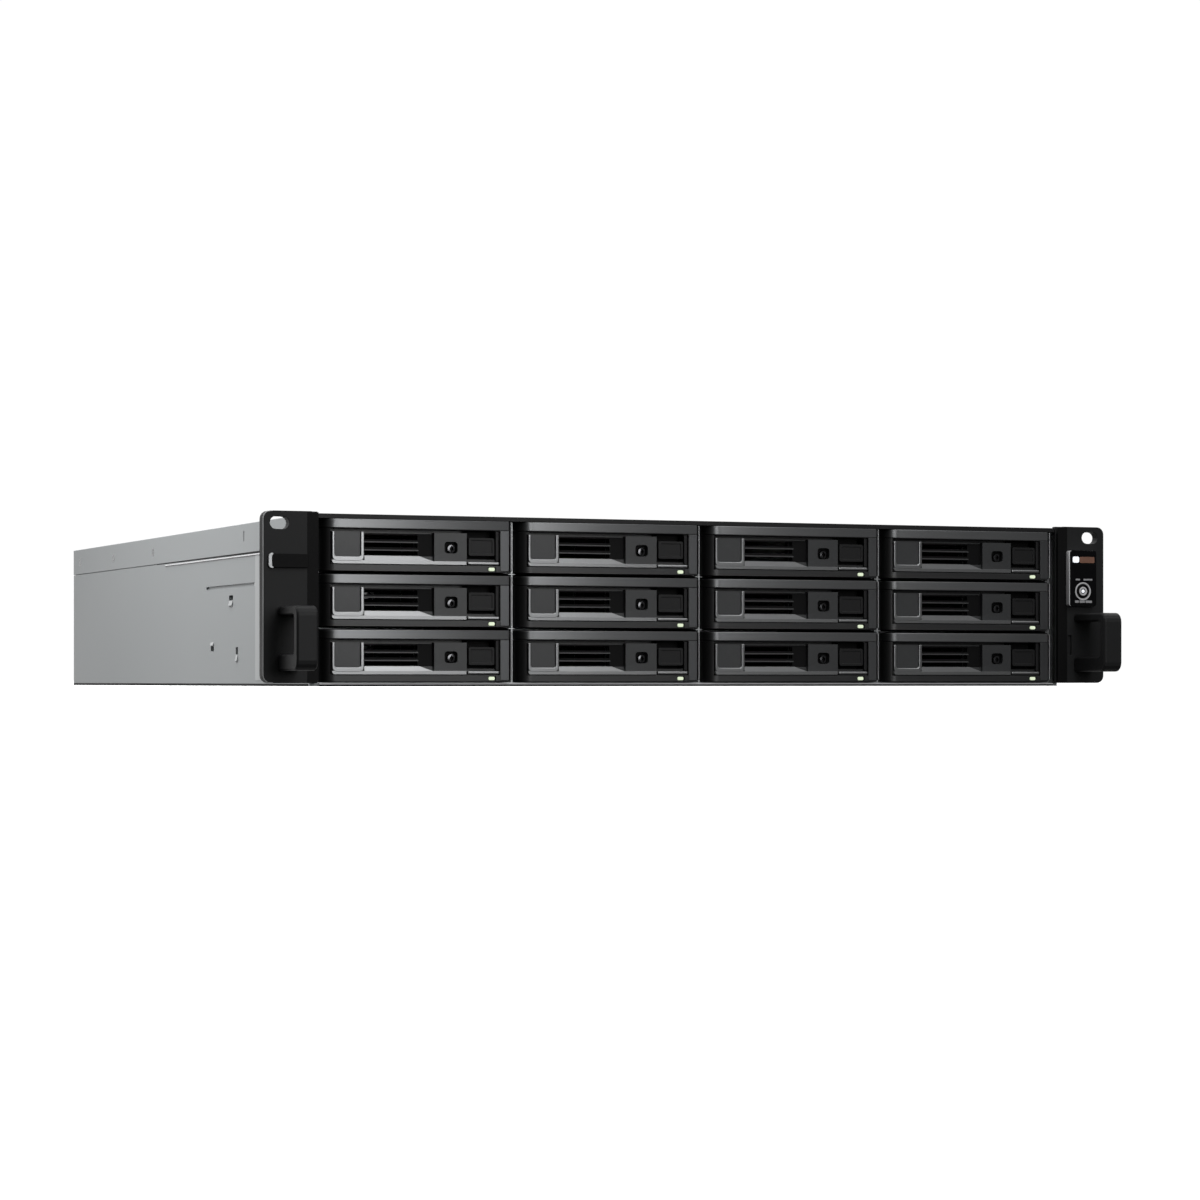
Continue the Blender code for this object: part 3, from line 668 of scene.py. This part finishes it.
plate_outline = rounded((-236.9, 59.5), (-217.9, 66.6), (1.6, 0.8, 0.8, 1.6))
plate_mesh = shaped(
    "name_plate",
    [prism(plate_outline, "XZ", EAR_FACE_Y - 1.5, EAR_FACE_Y + 0.4)],
    bevel=0.4, segments=3,
)
clip_outline = rounded((-238.7, 59.1), (-236.0, 67.0), (2.0, 0.3, 0.3, 2.0))
clip_mesh = shaped(
    "name_plate_end",
    [prism(clip_outline, "XZ", EAR_FACE_Y - 1.2, EAR_FACE_Y + 0.4)],
    bevel=0.5, segments=3,
)
SATIN_CHROME = grained("satin_chrome", (0.26, 0.265, 0.27), (0.3, 0.4), metallic=1.0, spread=0.06,
                       grain=900.0, bump=0.03)
WARM_LENS = grained("warm_lens", (0.19, 0.10, 0.070), (0.4, 0.5), spread=0.15, grain=600.0, bump=0.03,
                    specular=0.15)
# Pale grey for a painted highlight on the left ear's rounded edge.
EDGE_HIGHLIGHT_GREY = grained("painted_edge_highlight", (0.42, 0.425, 0.43), (0.4, 0.5), spread=0.04, grain=1200.0, bump=0.03)
WHITE_LAMP = glowing("white_lamp", (0.85, 0.88, 0.92), 0.6)
INK = grained("printed_grey", (0.30, 0.30, 0.31), (0.4, 0.5), spread=0.05, grain=900.0, bump=0.02)
piece("name_plate", plate_mesh, (0, 0, 0), "chassis", BLACK_AND_PAINTED_SHADE)
piece("name_plate_end", clip_mesh, (0, 0, 0), "chassis", SATIN_CHROME)

for side, label in ((-1, "left"), (1, "right")):
    near, far = sorted((side * 212.25, side * 218.2))
    # A black strip on the inner part of each ear, beside the trays: painted shade in the recess there.
    strip_mesh = shaped(
        f"{label}_ear_strip",
        [box((near, EAR_FACE_Y - 0.08, ear_low.z + 0.5), (far, EAR_FACE_Y + 0.1, ear_high.z - 0.5))],
        bevel=0.05, segments=1,
    )
    piece(f"{label}_ear_strip", strip_mesh, (0, 0, 0), "chassis", BLACK_AND_PAINTED_SHADE)

panel_low, panel_high = node_box("control_panel")
power_low, power_high = node_box("power_button")
power_x = (power_low.x + power_high.x) / 2
power_z = (power_low.z + power_high.z) / 2
panel_y = panel_low.y
panel_outline = rounded((panel_low.x, panel_low.z), (panel_high.x, panel_high.z), (1.2,) * 4)
panel_inset = rounded(
    (panel_low.x + 0.45, panel_low.z + 0.02), (panel_high.x - 0.02, panel_high.z - 0.02), (1.2,) * 4
)
surround_mesh = shaped(
    "panel_surround",
    [prism(panel_outline, "XZ", panel_y + 0.12, panel_high.y)],
    [("cut", [rod((power_x, panel_y, power_z), 4.1, 30.0, "Y", 40)])],
    bevel=0.25, segments=2,
)
window_outline = rounded((219.4, 67.4), (234.0, 72.2), (0.6,) * 4)
face_mesh = shaped(
    "panel_face",
    [prism(panel_inset, "XZ", panel_y, panel_y + 0.8)],
    [
        ("cut", [rod((power_x, panel_y, power_z), 5.0, 30.0, "Y", 48)]),
        ("cut", [prism(window_outline, "XZ", panel_y - 3.0, panel_y + 0.1)]),
    ],
    bevel=0.15, segments=2,
)
ring_mesh = shaped(
    "power_ring",
    [lathe([(4.95, 1.2), (4.95, 0.15), (4.8, -0.1), (4.3, -0.1), (4.1, 0.1), (4.1, 1.2)],
           (power_x, panel_y, power_z), sides=48)],
)
power_mesh = shaped(
    "power_cap",
    [lathe([(3.75, 4.1), (3.75, 0.3), (3.5, 0.0), (2.6, 0.0), (2.4, 0.5), (0.5, 0.55)],
           (power_x, power_low.y, power_z), sides=48)],
    bevel=0.08, segments=1,
)
halo_mesh = shaped(
    "power_halo",
    [lathe([(2.45, 0.9), (2.45, 0.2), (2.2, 0.05), (1.7, 0.05), (1.5, 0.3), (1.5, 0.9)],
           (power_x, power_low.y, power_z), sides=40)],
)
dot_mesh = shaped(
    "power_dot",
    [lathe([(0.95, 1.0), (0.95, 0.25), (0.7, 0.12), (0.1, 0.1)], (power_x, power_low.y, power_z), sides=32)],
)
for label, mesh, body, slot, finish, replaced in (
    ("panel_surround", surround_mesh, "chassis", "control_panel", PALE_GREY, ["control_panel"]),
    ("panel_face", face_mesh, "chassis", "control_panel", GLOSS_BLACK, []),
    ("power_ring", ring_mesh, "chassis", "control_panel", PALE_GREY, []),
    ("power_cap", power_mesh, "power_button", "power_button", GLOSS_BLACK, ["power_button"]),
    ("power_halo", halo_mesh, "power_button", "power_button", PALE_GREY, []),
    ("power_dot", dot_mesh, "power_button", "power_button", WHITE_LAMP, []),
):
    piece(label, mesh, (0, 0, 0), body, finish, replaced)


def small_mark(name, x, z, finish, front=-0.05, back=0.3, radius=0.25):
    """A small raised window or printed bar on the control panel."""
    mesh = shaped(
        name,
        [prism(rounded((x[0], z[0]), (x[1], z[1]), (radius,) * 4, 2), "XZ", panel_y + front, panel_y + back)],
        bevel=0.04, segments=1,
    )
    piece(name, mesh, (0, 0, 0), "chassis", finish)


small_mark("status_lamp", (219.8, 223.9), (68.2, 71.6), WHITE_LAMP, 0.02, 0.5, 0.9)
small_mark("status_window", (224.2, 233.6), (68.1, 71.5), WARM_LENS, 0.03, 0.5, 0.5)
for number, (x0, x1) in enumerate(((221.6, 224.4), (226.6, 232.2)), 1):
    small_mark(f"upper_legend_{number}", (x0, x1), (58.4, 59.3), INK, radius=0.2)
for number, (x0, x1) in enumerate(((221.2, 223.6), (224.1, 227.4), (227.9, 232.0)), 1):
    small_mark(f"lower_legend_{number}", (x0, x1), (46.0, 47.3), INK, radius=0.2)

# ---------------------------------------------------------------- side walls

SIDE_X = node_box("chassis_base")[1].x
TAB_PLACES = (
    ("upper", (-107.6, -100.4), 46.6, 43.4),
    ("rear", (-67.8, -62.2), 21.9, 24.3),
    ("lower", (-118.0, -114.0), 17.0, 13.0),
)


def beside(side, proud, y, z):
    """A point on the left (-1) or right (1) side wall, proud of it by the given amount."""
    return (side * (SIDE_X + proud), y, z)


for side, label in ((-1, "left"), (1, "right")):
    for place, (y0, y1), hole_z, end_z in TAB_PLACES:
        top, bottom = max(hole_z, end_z), min(hole_z, end_z)
        # The tabs take the paler zinc paint as painted highlight.
        tab_mesh = shaped(
            f"{label}_{place}_tab",
            [wedge([
                beside(side, depth, y, z) for y in (y0, y1)
                for depth, z in ((-0.3, top), (0.05, top), (0.75, bottom + 0.4), (-0.3, bottom))
            ])],
            bevel=0.15, segments=2,
        )
        piece(f"{label}_{place}_tab", tab_mesh, (0, 0, 0), "chassis", PALER_ZINC_HIGHLIGHT)
    # A black wedge along the cover's lower edge: painted shade in the seam.
    seam_mesh = shaped(
        f"{label}_cover_seam",
        [wedge([
            beside(side, depth, y, z) for depth in (-0.2, 0.04)
            for y, z in ((-252.0, 71.48), (-252.0, 70.55), (60.0, 71.48), (60.0, 71.1))
        ])],
    )
    piece(f"{label}_cover_seam", seam_mesh, (0, 0, 0), "chassis", BLACK_AND_PAINTED_SHADE)
    # A pale grey ridge under the seam: painted highlight along the rolled edge.
    ridge_mesh = shaped(
        f"{label}_cover_ridge",
        [wedge([
            beside(side, depth, y, z) for y in (-252.0, 40.0)
            for depth, z in ((-0.2, 70.5), (0.05, 70.5), (0.5, 69.9), (-0.2, 69.2))
        ])],
        bevel=0.12, segments=2,
    )
    piece(f"{label}_cover_ridge", ridge_mesh, (0, 0, 0), "chassis", PALE_GREY)
    # A black strip along the bottom of each side: painted shade at the base.
    base_shade_mesh = shaped(
        f"{label}_base_edge",
        [wedge([
            beside(side, depth, y, z) for depth in (-0.2, 0.04) for y in (-251.0, 280.0) for z in (0.05, 1.3)
        ])],
    )
    piece(f"{label}_base_edge", base_shade_mesh, (0, 0, 0), "chassis", BLACK_AND_PAINTED_SHADE)
    # A raised strip in the paler zinc paint: painted highlight on the fold near the front.
    fold_mesh = shaped(
        f"{label}_front_fold",
        [wedge([
            beside(side, depth, y, z) for z in (3.0, 70.4)
            for depth, y in ((-0.2, -165.0), (-0.2, -150.0), (0.12, -162.0), (0.12, -154.0))
        ])],
    )
    piece(f"{label}_front_fold", fold_mesh, (0, 0, 0), "chassis", PALER_ZINC_HIGHLIGHT)

# ---------------------------------------------------------------- front trim

trim_mesh = shaped(
    "front_trim",
    [box((-211.6, -256.5, 85.0), (211.6, -256.02, 87.35))],
    bevel=0.15, segments=2,
)
piece("front_trim", trim_mesh, (0, 0, 0), "cover", BLACK_SATIN)
# A black strip below the pale base line: painted shade at the bottom of the front.
front_base_shade_mesh = shaped("front_base_edge", [box((-211.0, -256.04, 0.02), (211.0, -255.9, 0.92))])
piece("front_base_edge", front_base_shade_mesh, (0, 0, 0), "chassis", BLACK_AND_PAINTED_SHADE)
hem_line = shaped(
    "front_base_line", [box((-211.0, -256.1, 0.94), (211.0, -255.9, 1.47))], bevel=0.05, segments=1
)
piece("front_base_line", hem_line, (0, 0, 0), "chassis", PALE_GREY)

for side, label in ((-1, "left"), (1, "right")):
    outer, inner = sorted((side * 241.29, side * 225.0))
    rounds = (4.0, 0, 0, 4.0) if side < 0 else (0, 4.0, 4.0, 0)
    narrow = (3.6, 0, 0, 3.6) if side < 0 else (0, 3.6, 3.6, 0)
    low_z, high_z = ear_low.z + 0.02, ear_high.z - 0.02
    step = 0.42
    edge_mesh = shaped(
        f"{label}_ear_edge",
        [
            prism(
                rounded((outer, low_z), (inner, high_z), rounds, 6),
                "XZ", EAR_FACE_Y - 0.03, EAR_FACE_Y + 0.5,
            )
        ],
        [("cut", [
            prism(
                rounded(
                    (outer + (step if side < 0 else -5.0), low_z + step),
                    (inner - (step if side > 0 else -5.0), high_z - step), narrow, 6,
                ),
                "XZ", EAR_FACE_Y - 3.0, EAR_FACE_Y + 3.0,
            ),
            *[
                box(
                    (side * x - 6.0, EAR_FACE_Y - 3.0, low_z - 2.0),
                    (side * x + 6.0, EAR_FACE_Y + 3.0, high_z + 2.0),
                )
                for x in (230.0, 222.0)
            ],
        ])],
        bevel=0.16, segments=3,
    )
    # The left ear's edge is pale grey, a painted highlight along the rounded edge; the right one keeps the
    # ear's powder.
    finish = EDGE_HIGHLIGHT_GREY if side < 0 else POWDER
    piece(f"{label}_ear_edge", edge_mesh, (0, 0, 0), "chassis", finish)

# ---------------------------------------------------------------- rear: supplies, ports and screws

GOLD = grained("contact_gold", (0.75, 0.52, 0.20), (0.2, 0.32), metallic=1.0, spread=0.08,
               grain=900.0, bump=0.03)
GREEN_LENS = glowing("green_lens", (0.12, 0.62, 0.22), 0.35)
AMBER_LENS = glowing("amber_lens", (0.80, 0.42, 0.08), 0.25)
SIGNAL_BLUE = grained("socket_blue", (0.03, 0.10, 0.34), (0.35, 0.48), spread=0.12,
                      grain=900.0, bump=0.08)
CHIP_BLACK = grained("chip_black", (0.010, 0.010, 0.011), (0.32, 0.44), spread=0.15,
                     grain=800.0, bump=0.1)
INLET_X = 150.5
GRILLE_X = 185.6
REAR_Y = node_box("chassis_base")[1].y

for number in (1, 2):
    body = f"power_supply_{number}"
    low, high = node_box(body)
    middle = (low.z + high.z) / 2
    x0, x1 = INLET_X - 11.8, INLET_X + 11.8
    z0, z1 = middle - 7.8, middle + 7.8
    cavity = [
        (x0 + 2.2, z0 + 1.6), (x1 - 2.2, z0 + 1.6), (x1 - 2.2, z1 - 4.6), (x1 - 5.2, z1 - 1.6),
        (x0 + 5.2, z1 - 1.6), (x0 + 2.2, z1 - 4.6),
    ]
    inlet_mesh = shaped(
        f"supply_inlet_{number}",
        [prism(rounded((x0, z0), (x1, z1), (1.5, 1.5, 1.5, 1.5)), "XZ", 266.3, 281.1)],
        [("cut", [prism(cavity, "XZ", 267.5, 290.0)])],
        bevel=0.3, segments=2,
    )
    pins_mesh = shaped(
        f"supply_pins_{number}",
        [
            box((INLET_X + x - 1.0, 266.8, middle + z - 2.0), (INLET_X + x + 1.0, 279.0, middle + z + 2.0))
            for x, z in ((0.0, 1.9), (-5.6, -1.7), (5.6, -1.7))
        ],
        bevel=0.4, segments=2,
    )
    well_mesh = shaped(
        f"supply_fan_well_{number}",
        [rod((GRILLE_X, 278.95, middle), 13.5, 0.2, sides=48)],
    )
    guard_mesh = shaped(
        f"supply_guard_{number}",
        [
            *[
                lathe(
                    [(r + 0.45, -0.45), (r + 0.45, 0.45), (r - 0.45, 0.45), (r - 0.45, -0.45)],
                    (GRILLE_X, 280.0, middle), sides=48,
                )
                for r in (12.9, 9.7, 6.5, 3.3)
            ],
            *[
                wire([
                    (GRILLE_X + 3.0 * math.cos(a), 279.6, middle + 3.0 * math.sin(a)),
                    (GRILLE_X + 13.2 * math.cos(a), 279.6, middle + 13.2 * math.sin(a)),
                ], 0.4)
                for a in [math.radians(45 + 90 * i) for i in range(4)]
            ],
        ],
    )
    lamp_mesh = shaped(
        f"supply_lamp_{number}",
        [lathe(
            [(1.3, -0.3), (1.3, 0.35), (0.8, 0.7), (0.1, 0.8)], (137.5, REAR_Y, middle + 14.0), sides=24
        )],
    )
    fixing_mesh = shaped(
        f"supply_screws_{number}",
        [
            screw((x, REAR_Y, middle + dz), "Y", 1, 1.9, 0.7)
            for x, dz in ((136.6, -15.5), (161.0, -15.5), (161.0, 15.5), (200.0, -16.2), (200.0, 16.2))
        ],
    )
    for label, mesh, finish in (
        ("inlet", inlet_mesh, PLASTIC_BLACK), ("pins", pins_mesh, BRIGHT_STEEL),
        ("fan_well", well_mesh, BLACK_AND_PAINTED_SHADE), ("guard", guard_mesh, BRIGHT_STEEL),
        ("lamp", lamp_mesh, GREEN_LENS), ("screws", fixing_mesh, DARK_CHROME),
    ):
        piece(f"supply_{label}_{number}", mesh, (0, 0, 0), body, finish)

PORT_REAR = node_box("rear_ports")[1].y
JACKS = [-181.0 + 17.5 * i for i in range(4)]
USB_X = -104.0
USB_LEVELS = (11.6, 19.0)
contacts_mesh = shaped(
    "jack_contacts",
    [
        wedge([
            (x - 3.9 + 1.02 * i + dx, y, z + dz)
            for dx in (0.0, 0.45) for y, z in ((269.0, 20.2), (278.5, 17.6)) for dz in (0.0, 0.35)
        ])
        for x in JACKS for i in range(8)
    ],
)
liner_mesh = shaped("jack_liners", [box((x - 5.9, 268.1, 12.7), (x + 5.9, 269.0, 20.7)) for x in JACKS])
tongue_mesh = shaped(
    "usb_tongues",
    [box((USB_X - 5.6, 268.1, z + 2.7), (USB_X + 5.6, 279.8, z + 4.4)) for z in USB_LEVELS],
    bevel=0.2, segments=2,
)
for label, spot, finish in (("link", -3.9, GREEN_LENS), ("activity", 3.9, AMBER_LENS)):
    lamps = shaped(
        f"jack_{label}_lamps",
        [
            box((x + spot - 1.2, PORT_REAR - 0.3, 22.0), (x + spot + 1.2, PORT_REAR + 0.25, 23.4))
            for x in JACKS
        ],
        bevel=0.15, segments=2,
    )
    piece(f"jack_{label}_lamps", lamps, (0, 0, 0), "chassis", finish)
shield_mesh = shaped(
    "port_frames",
    [
        *[box((x - 6.9, PORT_REAR - 0.2, 11.7), (x + 6.9, PORT_REAR + 0.45, 24.2)) for x in JACKS],
        box((USB_X - 7.6, PORT_REAR - 0.2, 10.7), (USB_X + 7.6, PORT_REAR + 0.45, 25.1)),
    ],
    [("cut", [
        *[box((x - 6.0, 270.0, 12.6), (x + 6.0, 290.0, 20.8)) for x in JACKS],
        *[box((x - 5.6, 270.0, 21.6), (x + 5.6, 290.0, 23.7)) for x in JACKS],
        *[box((USB_X - 6.7, 270.0, z), (USB_X + 6.7, 290.0, z + 5.2)) for z in USB_LEVELS],
    ])],
    bevel=0.12, segments=2,
)
ports_fixing = shaped(
    "port_screws",
    [screw((x, PORT_REAR, z), "Y", 1, 1.8, 0.6) for x in (-198.0, -84.0) for z in (8.0, 30.0)],
)
piece("jack_contacts", contacts_mesh, (0, 0, 0), "chassis", GOLD)
piece("jack_liners", liner_mesh, (0, 0, 0), "chassis", BLACK_AND_PAINTED_SHADE)
piece("usb_tongues", tongue_mesh, (0, 0, 0), "chassis", SIGNAL_BLUE)
piece("port_frames", shield_mesh, (0, 0, 0), "chassis", ALUMINIUM)
piece("port_screws", ports_fixing, (0, 0, 0), "chassis", DARK_CHROME)

rear_screws = shaped(
    "rear_screws",
    [
        *[screw((x, REAR_Y, z), "Y", 1, 2.4, 0.6) for x in (-208.0, -60.0, 60.0, 122.0) for z in (8.0, 79.0)],
        screw((0.0, REAR_Y, 8.0), "Y", 1, 2.4, 0.6),
    ],
)
piece("rear_screws", rear_screws, (0, 0, 0), "chassis", DARK_CHROME)
stud_profile = [(4.2, -0.2), (4.2, 0.9), (3.0, 1.1), (3.0, 3.0), (2.0, 3.2), (2.0, 4.6), (0.2, 4.8)]
earth_mesh = shaped(
    "earth_stud", [lathe(stud_profile, (95.0, REAR_Y, 20.0), sides=6)], bevel=0.2, segments=2
)
piece("earth_stud", earth_mesh, (0, 0, 0), "chassis", GOLD)
screen_mesh = shaped(
    "vent_screen",
    [box((-194.5, 278.0, 35.5), (-75.5, 278.6, 76.5))],
    [("cut", [box((-196.0, 270.0, 38.4 + 4.0 * i), (-74.0, 290.0, 40.9 + 4.0 * i)) for i in range(9)])],
)
screen_bars = shaped(
    "vent_screen_bars",
    [box((-192.9 + 3.4 * i, 277.7, 36.0), (-191.9 + 3.4 * i, 278.1, 76.0)) for i in range(35)],
)
for label, mesh in (("vent_screen", screen_mesh), ("vent_screen_bars", screen_bars)):
    piece(label, mesh, (0, 0, 0), "chassis", BLACK_AND_PAINTED_SHADE)

top = node_box("top_cover")[1].z
top_screws = shaped(
    "cover_screws",
    [
        *[screw((x, y, top), "Z", 1, 2.6, 0.35) for x in (-204.0, 204.0) for y in (-120.0, 20.0, 262.0)],
        *[
            screw((side * SIDE_X, y, 79.0), "X", side, 2.6, 0.04)
            for side in (-1, 1) for y in (70.0, 170.0, 262.0)
        ],
    ],
)
piece("cover_screws", top_screws, (0, 0, 0), "cover", DARK_CHROME)
grip_mesh = shaped(
    "cover_grip",
    [prism(rounded((-34.0, 232.0), (34.0, 252.0), (4.0, 4.0, 4.0, 4.0), 5), "XY", top - 0.2, top + 0.3)],
    [("cut", [
        prism(rounded((-32.0, 234.0), (32.0, 250.0), (3.0, 3.0, 3.0, 3.0), 5), "XY", top - 5.0, top + 5.0),
    ])],
    bevel=0.12, segments=2,
)
grip_ribs = shaped(
    "cover_grip_ribs",
    [box((-30.0, 236.2 + 3.4 * i, top - 0.2), (30.0, 237.4 + 3.4 * i, top + 0.3)) for i in range(4)],
    bevel=0.12, segments=2,
)
piece("cover_grip", grip_mesh, (0, 0, 0), "cover", PALER_ZINC_HIGHLIGHT)
piece("cover_grip_ribs", grip_ribs, (0, 0, 0), "cover", PALER_ZINC_HIGHLIGHT)

# ---------------------------------------------------------------- inside: memory, chips and leads

BOARD_TOP = 9.6
STICKS = [23.5 + 11.0 * i for i in range(4)]
stick_mesh = shaped(
    "memory_boards",
    [box((x - 0.6, 45.0, 14.0), (x + 0.6, 175.0, 45.0)) for x in STICKS],
    bevel=0.15, segments=1,
)
memory_mesh = shaped(
    "memory_chips",
    [
        box((x + face - 0.55, 50.0 + 13.6 * i, 24.0), (x + face + 0.55, 60.0 + 13.6 * i, 40.0))
        for x in STICKS for face in (-0.6, 0.6) for i in range(9)
    ],
    bevel=0.12, segments=1,
)
clip_ends = shaped(
    "memory_clips",
    [box((x - 2.6, y, 17.1), (x + 2.6, y + 4.0, 27.0)) for x in STICKS for y in (40.5, 175.4)],
    bevel=0.5, segments=2,
)
chips_mesh = shaped(
    "board_chips",
    [
        box((x, y, BOARD_TOP - 0.1), (x + w, y + d, BOARD_TOP + 1.8))
        for x, y, w, d in (
            (-118.0, 120.0, 22.0, 22.0), (-150.0, 180.0, 16.0, 16.0), (70.0, 200.0, 12.0, 12.0),
            (-60.0, 176.0, 10.0, 14.0), (80.0, 60.0, 24.0, 24.0), (84.0, 110.0, 14.0, 20.0),
            (-180.0, 110.0, 10.0, 8.0), (-180.0, 134.0, 10.0, 8.0), (30.0, 210.0, 8.0, 12.0),
        )
    ],
    bevel=0.2, segments=1,
)
cap_places = [(-92.0 + 11.0 * i, 42.0) for i in range(8)] + [(-8.0, 168.0 + 11.0 * i) for i in range(3)]
cap_places += [(72.0, 36.0 + 11.0 * i) for i in range(3)]
can_profile = [(3.8, BOARD_TOP - 0.1), (4.0, BOARD_TOP + 1.0), (4.0, 20.0), (3.6, 20.6), (0.2, 20.6)]
can_mesh = shaped("board_capacitors", [lathe(can_profile, (x, y, 0.0), "Z", 24) for x, y in cap_places])
coil_mesh = shaped(
    "board_coils",
    [box((-94.0 + 11.0 * i, 24.0, BOARD_TOP - 0.1), (-86.0 + 11.0 * i, 32.0, 16.0)) for i in range(8)],
    bevel=0.8, segments=2,
)
for label, mesh, finish in (
    ("memory_boards", stick_mesh, BOARD), ("memory_chips", memory_mesh, CHIP_BLACK),
    ("memory_clips", clip_ends, PALE_GREY), ("board_chips", chips_mesh, CHIP_BLACK),
    ("board_capacitors", can_mesh, ALUMINIUM), ("board_coils", coil_mesh, PLASTIC_BLACK),
):
    piece(label, mesh, (0, 0, 0), "chassis", finish)

LEAD_YELLOW = grained("lead_yellow", (0.62, 0.42, 0.03), (0.4, 0.52), grain=900.0)
LEAD_COLOURS = (("black", PLASTIC_BLACK), ("yellow", LEAD_YELLOW), ("red", DARK_RED))
for index, (tone, finish) in enumerate(LEAD_COLOURS):
    leads = [
        wire([
            (x + 38.5, -22.5, 9.0), (x + 38.5, -16.0, 9.0), (x + 38.5, -10.0, 14.0),
            (x + 30.0, 2.0, 14.0), (x + 30.0, 4.0, 10.0),
        ], 0.7)
        for x in (-142.0 - 1.8 * index, -1.8 * index)
    ]
    leads += [
        wire([
            (88.0 + 6.0 * index + dx, 19.0, 21.5), (88.0 + 6.0 * index + dx, 19.0, 34.0),
            (70.0 + 4.0 * index + dx, -8.0, 40.0), (70.0 + 4.0 * index + dx, -50.0, 40.0),
            (70.0 + 4.0 * index + dx, -62.2, 36.0),
        ], 1.1)
        for dx in (0.0, 2.4)
    ]
    piece(f"leads_{tone}", shaped(f"leads_{tone}", leads), (0, 0, 0), "chassis", finish)
data_leads = shaped(
    "data_leads",
    [
        wire([
            (-190.0 + 8.0 * i, 12.0, 17.5), (-190.0 + 8.0 * i, 12.0, 30.0),
            (-90.0 + 9.0 * i, -6.0, 34.0 + 2.0 * i),
            (-84.0 + 7.0 * i, -48.0, 36.0 + 2.0 * i), (-84.0 + 7.0 * i, -62.2, 36.0),
        ], 1.7)
        for i in range(5)
    ],
)
piece("data_leads", data_leads, (0, 0, 0), "chassis", SIGNAL_BLUE)

# ---------------------------------------------------------------- camera, floor and light

EAR_FRONT = EAR_FACE_Y * MM
VIEW_YAW = math.radians(23.3)
VIEW_DISTANCE = 1.78
camera_data = bpy.data.cameras.new("camera")
camera_data.lens = 101.0
camera_data.sensor_width = 36.0
camera_data.shift_x = -0.088
camera_data.shift_y = 0.067
camera_data.clip_start = 0.0005
camera_data.clip_end = 100.0
camera = bpy.data.objects.new("camera", camera_data)
camera.location = (
    -VIEW_DISTANCE * math.sin(VIEW_YAW), EAR_FRONT - VIEW_DISTANCE * math.cos(VIEW_YAW), 0.003,
)
camera.rotation_euler = (math.radians(90), 0.0, -VIEW_YAW)
bpy.context.scene.collection.objects.link(camera)
bpy.context.scene.camera = camera


def stage_piece(name, mesh, mat):
    obj = bpy.data.objects.new(name, mesh)
    obj.data.materials.append(mat)
    bpy.context.scene.collection.objects.link(obj)
    obj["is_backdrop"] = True
    return obj


floor_plan = [(-30000.0, -30000.0), (30000.0, -30000.0), (30000.0, 30000.0), (-30000.0, 30000.0)]
FLOOR = grained("floor_white", (0.90, 0.90, 0.90), (0.85, 0.95), spread=0.01, grain=30.0, bump=0.0,
                patches=1.0, specular=0.1)
FLOOR.node_tree.nodes["Principled BSDF"].inputs["Emission Color"].default_value = (1.0, 1.0, 1.0, 1.0)
FLOOR.node_tree.nodes["Principled BSDF"].inputs["Emission Strength"].default_value = 0.5
floor = stage_piece("floor", shaped("floor", [prism(floor_plan, "XY", -20.0, 0.0)]), FLOOR)
floor.visible_glossy = False
floor.visible_diffuse = False

world = bpy.data.worlds.new("studio")
world.use_nodes = True
tree = world.node_tree
sky = tree.nodes["Background"]
sky.inputs["Color"].default_value = (1.0, 1.0, 1.0, 1.0)
where = tree.nodes.new("ShaderNodeTexCoord")
split = tree.nodes.new("ShaderNodeSeparateXYZ")


def sky_part(axis, start, end, low, high):
    """Part of the sky's strength, rising smoothly along one direction."""
    rise = tree.nodes.new("ShaderNodeMapRange")
    rise.interpolation_type = "SMOOTHSTEP"
    rise.inputs["From Min"].default_value = start
    rise.inputs["From Max"].default_value = end
    rise.inputs["To Min"].default_value = low
    rise.inputs["To Max"].default_value = high
    tree.links.new(split.outputs[axis], rise.inputs["Value"])
    return rise.outputs["Result"]


tree.links.new(where.outputs["Generated"], split.inputs["Vector"])
total = tree.nodes.new("ShaderNodeMath")
total.operation = "ADD"
ground = tree.nodes.new("ShaderNodeMath")
ground.operation = "MULTIPLY"
tree.links.new(sky_part("Y", -0.1, 0.45, 0.11, 1.02), ground.inputs[0])
tree.links.new(sky_part("Z", -0.5, 0.0, 0.3, 1.0), ground.inputs[1])
flank = tree.nodes.new("ShaderNodeMath")
flank.operation = "MULTIPLY"
tree.links.new(ground.outputs["Value"], flank.inputs[0])
tree.links.new(sky_part("X", -0.78, -0.45, 0.12, 1.0), flank.inputs[1])
tree.links.new(flank.outputs["Value"], total.inputs[0])
tree.links.new(sky_part("Z", 0.2, 0.85, 0.0, 0.5), total.inputs[1])
tree.links.new(total.outputs["Value"], sky.inputs["Strength"])
bpy.context.scene.world = world
bpy.context.scene.view_settings.view_transform = "Standard"


def soft_light(name, azimuth, height, distance, size, power, aim=(0.0, -0.1, 0.05)):
    """An area light round the object; azimuth is to the right of the front, in degrees."""
    data = bpy.data.lights.new(name, "AREA")
    data.shape = "RECTANGLE"
    data.size, data.size_y = size
    data.energy = power
    obj = bpy.data.objects.new(name, data)
    turn = math.radians(azimuth)
    obj.location = (distance * math.sin(turn), -distance * math.cos(turn), height)
    obj.rotation_euler = (Vector(aim) - obj.location).to_track_quat("-Z", "Y").to_euler()
    obj.visible_camera = False
    bpy.context.scene.collection.objects.link(obj)
    return obj


soft_light("key_box", 10.0, 1.5, 1.5, (1.4, 1.0), 12.0)
soft_light("front_box", 2.6, 0.30, 1.45, (0.5, 0.6), 4.0, (0.05, -0.26, 0.05))
side_light = soft_light("side_box", -82.0, 0.52, 0.44, (0.16, 0.5), 3.6, (-0.21, -0.12, 0.05))
side_light.visible_glossy = False

low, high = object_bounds()
